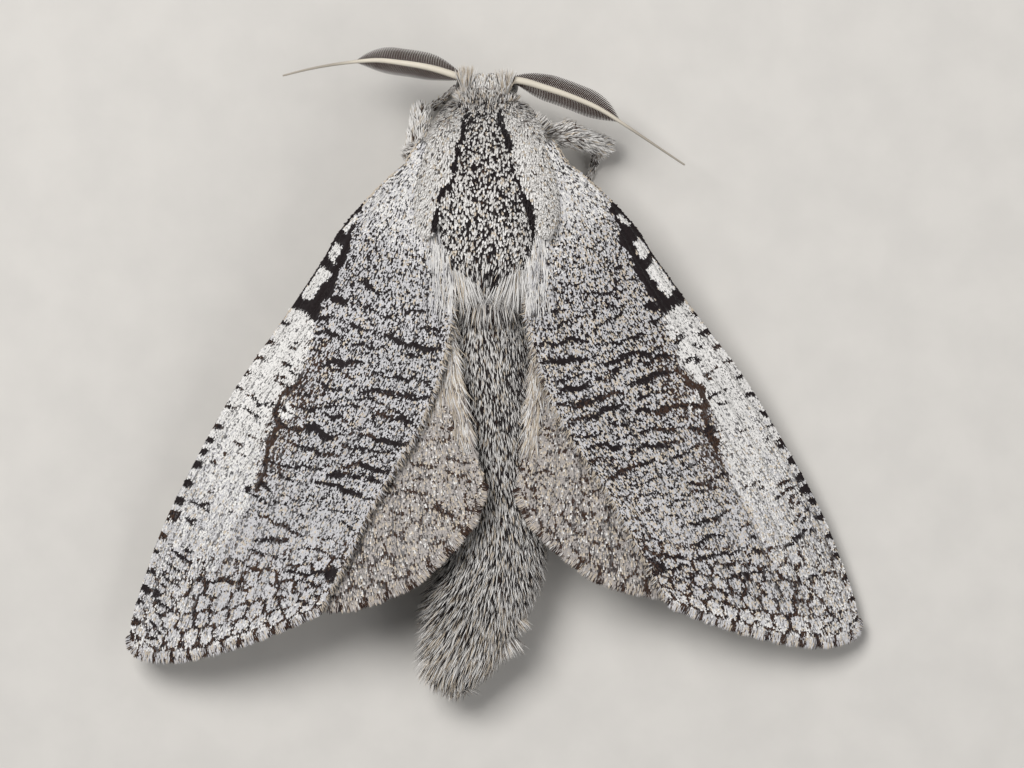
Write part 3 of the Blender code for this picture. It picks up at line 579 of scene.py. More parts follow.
def tegula_frame(side):
    """The turn of a tegula as a matrix."""
    sign = SIDES[side]
    turn = (
        Matrix.Rotation(math.radians(sign * TEGULA_TURNS["Z"]), 3, "Z")
        @ Matrix.Rotation(math.radians(TEGULA_TURNS["X"]), 3, "X")
        @ Matrix.Rotation(math.radians(sign * TEGULA_TURNS["Y"]), 3, "Y")
    )
    return np.array(turn)


def tegula_tube(side, inset):
    """A tegula as a closed egg, leaning outwards."""
    half_x, half_y, half_z = np.array(TEGULA_HALF) - inset
    points, faces = egg((0, 0, 0), (0, 1, 0), (half_y, half_x, half_z), 20, 28, 85)
    place = np.array(TEGULA_PLACE) * (SIDES[side], 1, 1)
    return points @ tegula_frame(side).T + place, faces


def lengths(joints, radii, sign):
    """Each length of a limb on a side: its two ends and its two radii."""
    joints = np.array(joints) * (sign, 1, 1)
    return [(a, b, *pair) for a, b, pair in zip(joints, joints[1:], radii)]


def leg_segments(name):
    """The four lengths of a leg."""
    radii = FORELEG_RADII if "fore" in name else LEG_RADII
    return lengths(LEGS[name], radii, SIDES[name.split("_")[1]])


def limb_segments():
    """The lengths of all six legs, and after them those of both palps."""
    palps = [s for sign in SIDES.values() for s in lengths(PALP_JOINTS, PALP_RADII, sign)]
    return [s for name in LEGS for s in leg_segments(name)] + palps


def remeshed(name, points, faces, voxel_mm):
    """Closed forms that overlap, fused into one even skin by voxels and smoothed."""
    helper = bpy.data.objects.new(name, build_mesh(name, points, [faces]))
    bpy.context.scene.collection.objects.link(helper)
    fuse = helper.modifiers.new("fuse", "REMESH")
    fuse.mode = "VOXEL"
    fuse.voxel_size = voxel_mm * MM
    relax = helper.modifiers.new("relax", "SMOOTH")
    relax.factor, relax.iterations = 0.6, 4
    bpy.context.view_layer.update()
    graph = bpy.context.evaluated_depsgraph_get()
    mesh = bpy.data.meshes.new_from_object(helper.evaluated_get(graph))
    bpy.data.objects.remove(helper)
    mesh.name = name
    return mesh


def mesh_arrays(mesh):
    """A mesh's vertices, face middles and face normals, points in the moth's millimetres."""
    arrays = []
    for items, name in ((mesh.vertices, "co"), (mesh.polygons, "center"), (mesh.polygons, "normal")):
        values = np.empty(len(items) * 3, np.float32)
        items.foreach_get(name, values)
        arrays.append(values.reshape(-1, 3))
    places, middles, normals = arrays
    return (places - home()) / MM, (middles - home()) / MM, normals


# Markings of the body

# The dark-rimmed patch on the thorax: y, x of its middle, half width.
BACK_PATCH = [
    (15.3, -0.05, 0.70), (14.7, -0.10, 1.00), (13.1, -0.18, 1.42), (11.1, -0.10, 2.00),
    (9.9, -0.22, 2.55), (8.4, -0.15, 2.73), (7.1, 0.05, 2.42), (6.5, 0.10, 1.75), (6.1, 0.10, 0.4),
]
BACK_STREAK = (0.45, 4.0, 6.4, 0.2)  # x, hind end, front end, half width
PATCH_END = (6.1, 6.5)  # where the patch fades in at its hind end
PATCH_FRONT = (15.2, 14.8)  # and at its front end
RIM_MIDDLE, RIM_WIDTHS = 0.08, (0.18, 0.11)  # inside the patch's edge
SOFT_DARK = 0.82  # a dark scale's depth where dark ones are few
MARK_SEED = 21


def classes(shares, chance):
    """One kind for each scale, picked by chance from the shares of dark, brown, white, warm.

    A dark scale is softer where dark ones are few.
    """
    marking = np.zeros((len(chance), 4))
    start = np.zeros(len(chance))
    for k, share in enumerate(shares):
        marking[:, k] = (chance >= start) & (chance < start + share)
        start = start + share
    marking[:, 0] *= SOFT_DARK + (1 - SOFT_DARK) * smooth(0.12, 0.26, shares[0])
    return marking


def body_shares(places):
    """The shares of dark, brown, white and warm hair scales at places on the body."""
    x, y, z = places.T
    line = hermite(TRUNK, y)
    upper = smooth(-0.2, 0.4, (z - line[:, 1]) / line[:, 3])
    ragged = (noise(x, y, 0.4, MARK_SEED) - 0.5) * 0.35
    patch = hermite(BACK_PATCH, y)
    edge = patch[:, 1] - np.abs(x - patch[:, 0]) + ragged
    in_length = smooth(*PATCH_END, y + ragged) * smooth(*PATCH_FRONT, y) * upper
    inside = smooth(-0.05, 0.05, edge) * in_length
    rim = smooth(*RIM_WIDTHS, np.abs(edge - RIM_MIDDLE)) * in_length
    rim = rim * smooth(0.18, 0.28, noise(x, y, 0.9, MARK_SEED + 1))
    at, low, high, half = BACK_STREAK
    streak = smooth(half + 0.08, half - 0.04, np.abs(x - at + ragged)) * smooth(low, low + 0.5, y)
    streak = streak * smooth(high, high - 0.3, y) * upper
    between = smooth(0.9, 0.5, np.abs(x + 0.05)) * smooth(3.2, 4.0, y) * smooth(6.5, 6.2, y)
    between = between * upper
    thorax = smooth(3.6, 4.6, y)
    collar = smooth(14.6, 15.3, y) * smooth(16.4, 15.9, y)
    peppery = smooth(-8.5, -3.0, y) * (1 - thorax)
    speckled = smooth(-14.0, -11.5, y) * (1 - thorax)
    dark = thorax * (0.08 + 0.20 * collar) + 0.22 * (1 - thorax) + 0.09 * speckled + 0.08 * peppery
    dark = np.clip(dark + 0.36 * inside + 0.30 * between + rim * 0.96 + streak * 0.9, 0, 0.98)
    brown = (0.02 + 0.04 * (1 - thorax)) * (1 - dark)
    on_thorax = 0.42 - 0.36 * collar - 0.20 * inside
    white = 0.22 + 0.12 * (1 - thorax) + 0.12 * speckled + thorax * on_thorax
    white = white * (1 - dark)
    warm = (0.08 + 0.22 * (1 - thorax - speckled) + 0.06 * speckled) * (1 - dark)
    return [dark, brown, white, warm]


# Coat

COAT_SEED = 5
EYE_CLEAR = 0.05
SOLE_LEVEL = 0.25  # nothing grows on the soles, below this height
# Along the trunk: y, hair length, hair width, lift in degrees.
COAT_ROWS = [
    (18.0, 0.22, 0.062, 24), (16.6, 0.26, 0.062, 30), (16.0, 0.40, 0.065, 30), (15.4, 0.36, 0.075, 26),
    (14.0, 0.30, 0.105, 25), (7.6, 0.30, 0.105, 25), (6.8, 0.42, 0.090, 20), (6.1, 0.90, 0.065, 14),
    (4.5, 1.00, 0.060, 14), (3.0, 0.50, 0.062, 22), (-4.0, 0.52, 0.062, 30), (-7.5, 0.68, 0.064, 40),
    (-11.5, 0.82, 0.066, 48), (-14.0, 0.95, 0.068, 44), (-16.5, 1.45, 0.072, 20),
]
# On legs and palps, for hip to knee, shin, foot, toes and palp: hair length, width and lift.
LEG_COAT = [(0.50, 0.075, 26), (0.55, 0.075, 24), (0.28, 0.070, 18), (0.20, 0.065, 16),
            (0.26, 0.065, 18)]
LEG_LENGTHS = 4
# The swollen end of the abdomen: its flank hairs are longer by a share and stand up more.
SWOLLEN_LENGTH, SWOLLEN_LIFT = 0.45, 14
UNDERSIDE = -0.04  # in turns round the trunk from its side
HIDDEN_SHARE = 0.58  # of the hairs on legs and underside that grow, where few are seen
SHELL_SCALES = (6.6, 15.8)  # where the back carries blunt scales in place of hairs
COAT_PARTINGS = (4, -7)  # where one piece of the coat ends and the next begins
# Tufts: root, lie, length, radius of the root, count of hairs, shares of dark, brown, white, warm.
TUFTS = [
    ((-1.16, 16.25, 5.90), (-0.05, 1.0, 0.40), 1.32, 0.22, 300, (0.02, 0.03, 0.45, 0.38)),
    ((0.98, 16.08, 5.90), (0.07, 1.0, 0.40), 1.27, 0.22, 300, (0.02, 0.03, 0.45, 0.38)),
    ((-0.10, 15.95, 6.20), (0.0, 1.0, 0.50), 0.42, 1.05, 620, (0.22, 0.06, 0.12, 0.16)),
    ((0.0, 15.45, 6.40), (0.0, 1.0, 0.15), 0.52, 1.50, 420, (0.34, 0.06, 0.10, 0.10)),
    ((0.0, 15.10, 6.65), (0.0, 1.0, 0.10), 0.48, 1.65, 420, (0.36, 0.06, 0.10, 0.10)),
    ((0.0, 14.75, 6.85), (0.0, 1.0, 0.05), 0.42, 1.70, 420, (0.38, 0.06, 0.10, 0.10)),
    ((2.45, 14.25, 5.70), (0.55, 1.0, -0.10), 0.85, 0.75, 500, (0.14, 0.05, 0.15, 0.15)),
    ((-1.25, 15.80, 5.10), (-0.60, 1.0, -0.2), 0.70, 0.30, 200, (0.10, 0.08, 0.05, 0.15)),
    ((1.25, 15.70, 5.10), (0.60, 1.0, -0.2), 0.60, 0.30, 200, (0.10, 0.08, 0.05, 0.15)),
    ((-1.45, 6.30, 8.00), (0.20, -1.0, -0.25), 2.3, 0.80, 900, (0.02, 0.03, 0.75, 0.10)),
    ((1.45, 6.30, 8.00), (-0.25, -1.0, -0.25), 2.2, 0.75, 900, (0.03, 0.03, 0.72, 0.10)),
    ((0.0, 4.55, 7.25), (0.0, -1.0, -0.20), 1.25, 1.5, 900, (0.26, 0.05, 0.20, 0.12)),
    ((1.25, -12.8, 3.9), (0.65, -1.0, 0.1), 1.35, 0.45, 130, (0.05, 0.10, 0.30, 0.25)),
    ((0.9, -13.9, 3.7), (0.45, -1.0, 0.05), 1.5, 0.45, 130, (0.05, 0.10, 0.30, 0.25)),
]
TUFT_SPREAD = 0.28
TUFT_WIDTH = 0.055
# Claws at the toes and spurs at the ankles: length, radius, how far they splay and bend, and
# the root's place, ahead of the joint and beside it.
CLAW = (0.42, 0.06, 0.5, -0.16, 0.18, 0.10)
SPUR = (0.75, 0.08, 0.45, 0, -0.25, 0.3)


def segment_distance(places, segments):
    """How far places are from the nearest segment's surface, which one, and its direction."""
    best = np.full(len(places), 1e9)
    which = np.zeros(len(places), int)
    share = np.zeros(len(places))
    for k, (a, b, radius_a, radius_b) in enumerate(segments):
        step = b - a
        t = np.clip((places - a) @ step / (step @ step), 0, 1)
        away = np.linalg.norm(places - a - t[:, None] * step, axis=1)
        away = away - (radius_a + t * (radius_b - radius_a))
        nearer = away < best
        best, which = np.where(nearer, away, best), np.where(nearer, k, which)
        share = np.where(nearer, t, share)
    ways = np.array([unit(b - a) for a, b, _, _ in segments])
    return best, which, share, ways[which]


def trunk_distance(places):
    """How far places are outside the trunk's ovals, roughly."""
    line = hermite(TRUNK, places[:, 1])
    dx, dz = places[:, 0] - line[:, 0], places[:, 2] - line[:, 1]
    size = np.sqrt((dx / line[:, 2]) ** 2 + (dz / line[:, 3]) ** 2)
    beyond = np.maximum(places[:, 1] - HEAD[0][0], 0)
    return (size - 1) * (line[:, 2] + line[:, 3]) / 2 + beyond


def trunk_lie(places, rng):
    """The way the coat lies on the trunk: backwards along it, and forwards over the brow."""
    y = places[:, 1]
    back = hermite(TRUNK, y - 0.3)[:, :2] - hermite(TRUNK, y + 0.3)[:, :2]
    lie = np.column_stack([back[:, 0], np.full(len(y), -0.6), back[:, 1] * 0.4])
    brow = smooth(16.0, 16.5, y)[:, None]
    lie = unit(lie) * (1 - 2 * brow) + brow * (0, 0, 0.6)
    sway = (noise(places[:, 0], y, 1.6, 8) - 0.5)[:, None] * (0.35, 0, 0)
    return lie + sway + rng.normal(0, 0.15, places.shape)


def tangent(ways, normals):
    """Ways laid into the planes square to the normals."""
    return unit(ways - normals * np.sum(ways * normals, axis=1, keepdims=True))


def coat_roots(mesh):
    """Where hair scales grow, on faces' middles.

    Gives places, normals, which are on a limb, each one's nearest length of limb, its share of
    the way along that and that length's direction, and which are to be kept.
    """
    _, places, normals = mesh_arrays(mesh)
    near, which, share, ways = segment_distance(places, limb_segments())
    limb = near < np.minimum(trunk_distance(places) + 0.1, 0.3)
    keep = (places[:, 2] > SOLE_LEVEL) | (normals[:, 2] > 0)
    for sign in SIDES.values():
        eye = np.array(EYE_PLACE) * (sign, 1, 1)
        keep &= np.linalg.norm(places - eye, axis=1) > EYE_RADIUS + EYE_CLEAR
    return places, normals, limb, which, share, ways, keep


def trunk_angle(places):
    """The turn of places round the trunk, 0 on its right side and 0.25 on top."""
    line = hermite(TRUNK, places[:, 1])
    return np.arctan2(places[:, 2] - line[:, 1], places[:, 0] - line[:, 0]) / math.tau


def coat_mesh(name, shape, roots, normals, lie, sizes, shares, unwrap, rng):
    """Scales or hairs on chosen roots; sizes rows are length, width and lift in degrees."""
    count = len(roots)
    marking = classes(shares, rng.rand(count))
    length, width, lift = sizes.T * rng.uniform(0.8, 1.2, (3, count))
    return scale_mesh(name, shape, roots, tangent(lie, normals), normals, length, width,
                      np.radians(lift), marking, rng.rand(count), unwrap)


# Wings


def camber(out, forward):
    """Height of the wing roof over its plane."""
    beyond = forward - CAMBER_LINE
    steep = np.where(beyond > 0, COSTA_CAMBER, INNER_CAMBER)
    return -steep * beyond * beyond - TIP_CAMBER * out * out


def wing_plane(wing, share, across):
    """Places in the wing's plane: share runs hinge to margin, across runs front to hind edge."""
    front, hind = along(wing["front"], share), along(wing["hind"], share)
    corner_a, corner_b = np.array(wing["front"][-1]), np.array(wing["hind"][-1])
    across_column = across[..., None]
    bulge = along(wing["outer"], across) - (corner_a + (corner_b - corner_a) * across_column)
    place = front + (hind - front) * across_column
    place = place + bulge * np.clip(share, 0, 1)[..., None] ** MARGIN_BULGE
    place[..., 0] += np.minimum(share, 0) * ROOT_RUN
    return place


def vein_lift(wing, share, across):
    """How far a vein lifts the membrane there, from 0 to 1."""
    chord = np.linalg.norm(along(wing["front"], share) - along(wing["hind"], share), axis=-1)
    lift = np.zeros(np.shape(share))
    for vein, fork in zip(wing["veins"], wing["forks"]):
        rise = np.clip((share - fork) / VEIN_FADE, 0, 1) if fork else 1.0
        beside = (across - vein) * chord / VEIN_HALF_WIDTH
        lift = np.maximum(lift, rise * np.exp(-(beside ** 2)))
    return lift * smooth(1.0, VEIN_END, share)


def on_roof(kind, side, share, across, rise):
    """Places on a wing of a side, rise above the middle of its membrane."""
    wing = WINGS[kind]
    sign = SIDES[side]
    plane = wing_plane(wing, share, across)
    x, y, drop = plane[..., 0], plane[..., 1], 0.0
    if kind == "hindwing":
        turn = math.radians(HINDWING_TURN[side])
        x, y = (HINDWING_HINGE[0] + x * math.cos(turn) + y * math.sin(turn),
                HINDWING_HINGE[1] - x * math.sin(turn) + y * math.cos(turn))
        drop = HINDWING_DROP
    height = camber(x, y) - drop + rise + VEIN_RISE * vein_lift(wing, share, across) * np.sign(rise)
    local = np.stack([x, y * sign, height], axis=-1)
    turn = (
        Matrix.Rotation(-math.pi / 2 + sign * math.radians(ROOF_SWEEP[side]), 3, "Z")
        @ Matrix.Rotation(math.radians(ROOF_DROOP[side]), 3, "Y")
        @ Matrix.Rotation(-sign * math.radians(ROOF_ROLL), 3, "X")
    )
    hinge = np.array(ROOF_HINGE) * (sign, 1, 1)
    return local @ np.array(turn).T + hinge, plane


def roof_frame(kind, side, share, across, rise):
    """Places on a wing, the ways out, hindward and up from them, and their places in its plane."""
    step = 0.004
    places, plane = on_roof(kind, side, share, across, rise)
    lie = unit(places - on_roof(kind, side, share - step, across, rise)[0])
    hindward = unit(places - on_roof(kind, side, share, across - step, rise)[0])
    up = unit(np.cross(hindward, lie)) * SIDES[side]
    return places, lie, hindward, up * (1 if rise > 0 else -1), plane


def scale_rows(wing, pitch_out, pitch_across, rng):
    """Shares and acrosses of scales in rows across the wing, spaced by the two pitches."""
    length = wing["front"][-1][0]
    shares, acrosses = [], []
    start = -ROOT_REACH / length
    for share in np.arange(start, MEMBRANE_END, pitch_out / length):
        ends = along(wing["front"], share) - along(wing["hind"], share)
        count = max(int(np.linalg.norm(ends) / pitch_across), 3)
        acrosses.append((np.arange(count) + 0.5 + rng.uniform(-0.3, 0.3, count)) / count)
        shares.append(share + rng.uniform(-0.4, 0.4, count) * pitch_out / length)
    return np.clip(np.concatenate(shares), start, 1), np.clip(np.concatenate(acrosses), 0.01, 1)


def stroke(x, y, line, width, seed):
    """A wavy brush stroke along line, from 0 to 1, width wide in its middle."""
    best = np.full(np.shape(x), -9.0)
    swell = 0.6 + 0.8 * noise(x, y, 0.55, seed)
    total = len(line) - 1
    for k, ((ax, ay), (bx, by)) in enumerate(zip(line, line[1:])):
        dx, dy = bx - ax, by - ay
        t = np.clip(((x - ax) * dx + (y - ay) * dy) / (dx * dx + dy * dy), 0, 1)
        away = np.hypot(x - ax - t * dx, y - ay - t * dy)
        taper = 0.45 + 0.55 * np.sin(np.pi * np.clip((k + t) / total, 0.05, 0.95))
        best = np.maximum(best, width / 2 * swell * taper - away)
    return smooth(-0.05, 0.05, best)


def wavy(start, end, parts, sway, chance):
    """A line from start to end in parts pieces that sways to both sides."""
    (ax, ay), (bx, by) = start, end
    length = math.hypot(bx - ax, by - ay)
    nx, ny = -(by - ay) / length, (bx - ax) / length
    line, drift = [], 0.0
    for k in range(parts + 1):
        drift = 0.5 * drift + chance.uniform(-sway, sway)
        line.append((ax + (bx - ax) * k / parts + nx * drift,
                     ay + (by - ay) * k / parts + ny * drift))
    return line


# Forewing markings in the wing's plane: the hind edges of the white band and of the dark bar,
# the pale blocks in the bar (start, end, depth), the brown blotch and the pale spot beside it.
BAND_EDGE = [
    (9.6, 1.3), (10.4, 0.7), (11.0, 0.45), (12.6, 0.05), (14.5, 0.0), (16.0, 0.1), (17.2, -0.1),
    (18.2, -0.55), (19.8, -0.95), (22.0, -1.2), (25.0, -1.3), (28.0, -0.9), (31.0, 0.0),
]
BAR_EDGE = [(2.6, 2.1), (3.6, 1.75), (5.0, 1.30), (7.0, 1.0), (9.0, 0.75), (10.2, 0.75)]
BAR_BLOCKS = [(3.9, 5.0, 0.45), (5.6, 6.8, 0.75), (7.2, 9.35, 0.95)]
BLOTCH = [(12.9, -0.05), (13.8, 0.0), (14.6, 0.35), (15.4, 0.25), (16.0, -0.35), (16.9, -0.45),
          (18.3, -0.9), (19.7, -1.15)]
BLOTCH_WIDTH = 0.44
BLOTCH_SPOT = (15.1, -0.35, 0.55)
CORNER_SPOT = (21.3, -7.3)
TICKS = (11.2, 30.8)  # where ticks mark the leading edge
BAND_STROKES = 46
# The cross lines: where they start and thin out, their pitch, lean and widths. Up to BAR_LINES
# they end at the dark bar, and further out at the white band.
CROSS_LINES = (5.6, 24.0)
CROSS_THIN_FROM = 17
CROSS_PITCH = (0.7, 1.15)
CROSS_LEAN = 0.285
WIDE_STROKE, THIN_STROKE = (0.28, 0.46), (0.14, 0.22)
BAR_LINES = 7.2
HINDWING_LINES = 70
# The rounded cells along the margin: size, rows, how many side by side, and the wing's run.
CELL_SIZE = 1.05
CELL_ROWS = 9
MARGIN_LOBES = {"forewing": 12, "hindwing": 11}
MARGIN_RUN = {"forewing": 34, "hindwing": 23}
WING_SEED = {"left": 11, "right": 37}


def read(table, key):
    """A two-column table read in straight lines at key."""
    keys, values = zip(*table)
    return np.interp(key, keys, values)


def margin_cells(kind, share, across, sways, seed):
    """How far in from the margin places are, and how far from the walls of its cells, in cells."""
    chance = random.Random(seed)
    lobes = MARGIN_LOBES[kind]
    from_margin = (1 - share) * MARGIN_RUN[kind] / CELL_SIZE
    along_it, inward = across * lobes + sways[0], from_margin + sways[1]
    first = np.full(np.shape(along_it), 9.0)
    second = first.copy()
    for row in range(CELL_ROWS):
        jitter = 0.10 + 0.03 * row
        for k in range(-1, lobes + 1):
            cx = k + 0.5 + 0.5 * (row % 2) + chance.uniform(-jitter, jitter)
            cy = row + 0.45 + chance.uniform(-jitter, jitter)
            away = np.hypot(along_it - cx, inward - cy)
            second = np.minimum(second, np.maximum(first, away))
            first = np.minimum(first, away)
    return from_margin, (second - first) / 2


def white_band(x, y, edge, wide_sway, fine_sway):
    """The ragged white band behind the leading edge, which thins out to the wing's tip."""
    teeth = 0.28 * (np.abs((x * 0.9 + wide_sway) % 1 - 0.5) - 0.25)
    white = smooth(-0.05, 0.05, y - edge - wide_sway - fine_sway - teeth)
    return white * smooth(9.6, 9.9, x + wide_sway) * (1 - 0.7 * smooth(15, 26, x))


def dark_bar(x, y, depth, white, wide_sway, fine_sway):
    """The dark bar on the inner part of the leading edge, and white with its pale blocks."""
    dark = smooth(-0.06, 0.06, y - read(BAR_EDGE, x) - wide_sway * 0.8 - fine_sway)
    dark = dark * smooth(2.5, 3.3, x) * smooth(10.25, 10.0, x + wide_sway)
    for start, end, deep in BAR_BLOCKS:
        block = smooth(start, start + 0.12, x + fine_sway) * smooth(end, end - 0.12, x + fine_sway)
        block = block * smooth(0.1, 0.2, depth)
        block = block * smooth(deep + 0.08, deep - 0.08, depth + fine_sway)
        dark, white = dark * (1 - block), np.maximum(white, block)
    return dark, white


def edge_ticks(x, depth, fine_sway, chance):
    """Dark ticks along the leading edge beyond the bar."""
    dark = np.zeros(np.shape(x))
    at, last = TICKS
    while at < last:
        wide = chance.uniform(0.32, 0.58) * (1.4 if 19 < at < 25 else 1)
        deep = chance.uniform(0.45, 0.9)
        off = np.abs(x - at + 0.25 * depth + fine_sway * 0.5) + depth * 0.12
        tick = smooth(wide * 0.5, wide * 0.5 - 0.08, off) * smooth(deep, deep - 0.15, depth + fine_sway)
        dark = np.maximum(dark, tick)
        at += chance.uniform(0.75, 1.35)
    return dark


def band_strokes(x, y, chance, seed):
    """Short dark strokes in the white band, every fourth one longer."""
    dark = np.zeros(np.shape(x))
    for k in range(BAND_STROKES):
        start = chance.uniform(11.5, 30.5)
        ceiling = float(read(FOREWING["front"], start)) - 0.7
        floor = float(read(BAND_EDGE, start)) + 0.2
        top = chance.uniform(floor, ceiling) if start < 22 else ceiling - chance.uniform(0, 1.1)
        drop = chance.uniform(0.2, 0.6) if k % 4 else chance.uniform(0.8, 1.8)
        line = wavy((start, top), (start - 0.12, top - drop), 3, 0.07, chance)
        dark = np.maximum(dark, stroke(x, y, line, chance.uniform(0.12, 0.24), seed + k))
    return dark


def cross_lines(x, y, chance, seed):
    """The wavy dark lines that cross a forewing, broken into strokes of many lengths."""
    dark = np.zeros(np.shape(x))
    at, last = CROSS_LINES
    while at < last:
        low = float(read(FOREWING["hind"], at))
        top = min(float(read(BAND_EDGE if at > BAR_LINES else BAR_EDGE, at + 2.1)), 1.0) - 0.15
        start = low + chance.uniform(-0.1, 0.3)
        while start < top - 0.5:
            span = chance.uniform(1.0, 3.6)
            end = min(start + span, top)
            foot = at + (start - low) * CROSS_LEAN
            head = foot + (end - start) * chance.uniform(0.15, 0.57)
            line = wavy((foot, start), (head, end), max(3, int(span / 0.4)), 0.20, chance)
            wide = chance.uniform(*(WIDE_STROKE if chance.random() < 0.5 else THIN_STROKE))
            wide *= 1.0 if at < CROSS_THIN_FROM else 0.7
            dark = np.maximum(dark, stroke(x, y, line, wide, int(at * 10) + seed))
            start = end + chance.uniform(0.1, 0.8)
        at += chance.uniform(*CROSS_PITCH)
    return dark


def forewing_shares(x, y, share, across, side):
    """The shares of dark, brown, white and warm scales in places of a forewing's plane."""
    seed = WING_SEED[side]
    chance = random.Random(seed)
    wide_sway = (noise(x, y, 0.9, seed + 1) - 0.5) * 0.55
    fine_sway = (noise(x, y, 0.32, seed + 2) - 0.5) * 0.30
    depth = read(FOREWING["front"], x) - y
    edge = read(BAND_EDGE, x)

    # Leading edge, with the brown blotch behind the band and its paler smear.
    white = white_band(x, y, edge, wide_sway, fine_sway)
    dark, white = dark_bar(x, y, depth, white, wide_sway, fine_sway)
    dark = np.maximum(dark, edge_ticks(x, depth, fine_sway, chance))
    brown = stroke(x, y + fine_sway, BLOTCH, BLOTCH_WIDTH, seed + 3)
    dark = np.maximum(dark, 0.35 * brown)
    smear = smooth(1.5, 0.3, np.abs(y - edge + 0.8)) * smooth(9.5, 12.0, x) * smooth(20.5, 18.0, x)
    brown = np.maximum(brown, 0.44 * smear)
    spot_x, spot_y, spot_size = BLOTCH_SPOT
    spot = np.hypot(x - spot_x, y - spot_y) + fine_sway * 0.5
    spot = smooth(spot_size, spot_size - 0.12, spot)
    white, brown = np.maximum(white, spot * 0.9), brown * (1 - spot)
    white = white * (1 - brown)
    dark = np.maximum(dark, band_strokes(x, y, chance, seed + 5))
    dark = np.maximum(dark, cross_lines(x, y, chance, seed))

    # Outer margin: a net of cells with a brown wedge at the foot of each wall.
    sways = (fine_sway * 0.6, wide_sway * 0.3)
    from_margin, wall = margin_cells("forewing", share, across, sways, seed + 6)
    outer = smooth(7.5, 4.5, from_margin) * (1 - 0.5 * smooth(0.35, 0.1, across))
    kept = smooth(0.10, 0.20, noise(x, y, 0.9, seed + 7))
    net = smooth(0.125, 0.09, wall) * outer * np.maximum(kept, smooth(2.2, 1.2, from_margin))
    dark, brown = np.maximum(dark, 0.5 * net), np.maximum(brown, 0.8 * net)
    wedge = smooth(0.02, -0.02, wall - 0.26 * smooth(1.0, 0.3, from_margin))
    brown = np.maximum(brown, wedge * smooth(1.2, 0.9, from_margin))
    white = np.maximum(white, 0.45 * smooth(2.6, 0.8, from_margin))
    corner = np.hypot(x - CORNER_SPOT[0], y - CORNER_SPOT[1])
    dark = np.maximum(dark, smooth(0.55, 0.35, corner + fine_sway))

    # Ground: a paler root, some lines browner, dark scales in gaps, more of them as painted shade.
    root = smooth(5.5, 2.0, x) * smooth(-4.2, -1.6, y + 0.3 * x)
    white = np.maximum(white, root * 0.6)
    gaps = 0.10 + 0.30 * smooth(24, 13, x) + 0.14 * (noise(x, y, 1.4, seed + 8) - 0.5)
    # Painted shade: the right wing's outer part gets more dark scales, as if it lay away from the
    # light.
    gaps = gaps + (0.04 if side == "right" else 0) * smooth(14, 18, x)
    tint = 0.5 * dark * smooth(0.5, 0.65, noise(x, y, 1.3, seed + 9)) * smooth(10.5, 11.5, x)
    dark, brown = dark - tint, np.maximum(brown, tint * 1.9)
    dark = np.maximum(dark, gaps * (1 - 0.85 * white) * (1 - brown))
    rim = smooth(0.22, 0.12, depth) * smooth(14, 10, x)
    warm = np.maximum(0.12 if side == "left" else 0.26, rim * 0.8)
    return [dark, brown * (1 - dark), white * (1 - dark) * (1 - rim),
            warm * (1 - white * (1 - rim)) * (1 - dark) * (1 - brown)]


def hindwing_shares(x, y, share, across, side):
    """The shares of dark, brown, white and warm scales in places of a hindwing's plane."""
    seed = WING_SEED[side] + 50
    chance = random.Random(seed)
    sway = (noise(x, y, 0.7, seed) - 0.5) * 0.5
    sways = (sway * 0.5, sway * 0.4)
    from_margin, wall = margin_cells("hindwing", share, across, sways, seed + 1)
    kept = smooth(0.25, 0.45, noise(x, y, 1.1, seed + 2))
    net = smooth(0.10, 0.05, wall) * smooth(5.5, 3.0, from_margin)
    net = net * np.maximum(kept, smooth(1.5, 0.8, from_margin))
    wedge = smooth(0.02, -0.02, wall - 0.14 * smooth(0.8, 0.1, from_margin))
    wedge = wedge * smooth(1.1, 0.8, from_margin)
    lines = np.zeros(np.shape(x))
    for k in range(HINDWING_LINES):
        reach, turn = chance.uniform(5, 17), chance.uniform(-0.42, 0.22)
        half = chance.uniform(0.25, 0.9)
        tilt = turn + math.pi / 2 + chance.uniform(-0.3, 0.3)
        middle = (reach * math.cos(turn), reach * math.sin(turn))
        step = (half * math.cos(tilt), half * math.sin(tilt))
        line = wavy((middle[0] - step[0], middle[1] - step[1]),
                    (middle[0] + step[0], middle[1] + step[1]), 3, 0.08, chance)
        lines = np.maximum(lines, stroke(x, y, line, chance.uniform(0.14, 0.26), seed + 4 + k))
    brown = np.clip(0.04 + 0.50 * net + 0.42 * lines + wedge, 0, 0.95)
    dark = 0.12 + 0.08 * net + 0.10 * lines
    return [dark, brown, 0.08 * (1 - brown), 0.20 * (1 - brown) * (1 - dark)]


SHARES = {"forewing": forewing_shares, "hindwing": hindwing_shares}
# Hairs on the wings: share from and to, across from and to, count, lean to the hind edge and lift
# in degrees, length, width, and shares of dark, brown, white and warm.
WING_HAIRS = {
    "forewing": [
        (-0.04, 0.27, 0.84, 1.0, 1100, 0, 5, 1.10, 0.050, (0.12, 0.01, 0.65, 0.05)),
        (0.20, 0.98, 0.965, 1.0, 2600, 30, -12, 0.46, 0.050, (0.20, 0.12, 0.03, 0.45)),
    ],
    "hindwing": [
        (0.0, 0.62, 0.35, 1.0, 3300, 1, 6, 1.15, 0.046, (0.07, 0.04, 0.32, 0.34)),
        (0.0, 0.80, 0.92, 1.0, 2200, 4, 5, 1.25, 0.046, (0.07, 0.04, 0.32, 0.34)),
    ],
}
ROOT_CROWDING, EDGE_CROWDING = 1.7, 1.6  # the higher, the nearer to root or edge they stand
CILIA = {"forewing": 2300, "hindwing": 2000}
CILIA_LENGTH = 0.42
CILIA_WIDTH = 0.07
CILIA_ROOTS = (0.98, 0.99)
